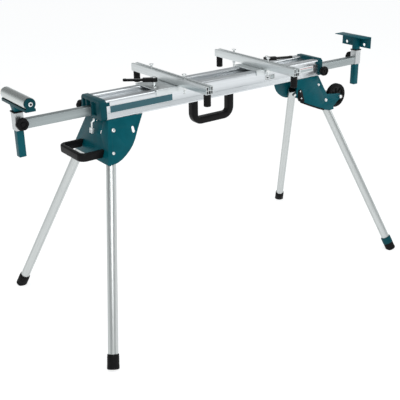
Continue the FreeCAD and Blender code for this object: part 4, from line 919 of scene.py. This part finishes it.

# %% [markdown]
# ## Painted shade strip and bumper on the right front plate
# A black strip along the plate's lower edge is painted shade for the shadow under that edge, not a
# part. A small black bumper under two rivets stops the folded leg. Both follow the plate's own slope,
# so they are built from points on its outer face and given thickness along the plate's normal.

# %% Painted shade strip and bumper
def slab_on_plate(form, outline, depth, proud, inwards):
    """A slab with this outline of (x, z), standing out of a side plate and reaching behind it."""
    normal = out_of_plate(depth)
    outer = [form.verts.new(on_plate(x, depth, z) + normal * proud) for x, z in outline]
    inner = [form.verts.new(on_plate(x, depth, z) - normal * inwards) for x, z in outline]
    form.faces.new(outer)
    form.faces.new(inner[::-1])
    for number in range(len(outline)):
        after = (number + 1) % len(outline)
        form.faces.new([outer[number], inner[number], inner[after], outer[after]])


# The black strip along this line is painted shade under the plate's lower edge, not a rubber part.
PAINTED_SHADE_LINE = [(0.368, 0.6675), (0.415, 0.6465), (0.455, 0.6300), (0.486, 0.6186)]
form = bmesh.new()
for (x, z), (next_x, next_z) in zip(PAINTED_SHADE_LINE, PAINTED_SHADE_LINE[1:]):
    slab_on_plate(form, [(x, z - 0.0025), (next_x, next_z - 0.0025), (next_x, next_z + 0.0035), (x, z + 0.0035)], -1,
                  0.0012, 0.0028)
guard = bpy.data.objects.new("plate_edge_guard", finish_form(form, "guard"))
form = bmesh.new()
slab_on_plate(form, [(0.3600, 0.6730), (0.3870, 0.6640), (0.3905, 0.6690), (0.3905, 0.7080), (0.3870, 0.7130),
                     (0.3710, 0.7130), (0.3635, 0.6985), (0.3580, 0.6880)], -1, 0.0012, 0.0028)
bumper = bpy.data.objects.new("leg_bumper", finish_form(form, "bumper"))
# The strip gets the black rubber finish as painted shade; the bumper gets black plastic.
for piece, slot in ((guard, "rubber"), (bumper, "black_plastic")):
    bpy.context.collection.objects.link(piece)
    bevel = piece.modifiers.new("soft edge", "BEVEL")
    bevel.width, bevel.segments = 0.0006, 2
    settle(piece)
    dress(piece, RUBBER if slot == "rubber" else BLACK_PLASTIC)
    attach(piece, "frame")
print("guard and bumper on the right front plate")

# %% [markdown]
# ## Floor
# One large pale plane.
# It glows faintly, as a light table does, which keeps the shadows pale.

# %% Floor
floor_mesh = bpy.data.meshes.new("studio_floor")
floor_mesh.from_pydata([(-40, -40, 0), (40, -40, 0), (40, 40, 0), (-40, 40, 0)], [], [(0, 1, 2, 3)])
floor = bpy.data.objects.new("studio_floor", floor_mesh)
bpy.context.collection.objects.link(floor)
floor_paper, _, _ = start_material("studio_paper", (0.40, 0.405, 0.41), 0.0, 0.8, Specular_IOR_Level=0.0,
                                   Emission_Color=(1, 1, 1, 1), Emission_Strength=0.76)
dress(floor, floor_paper)
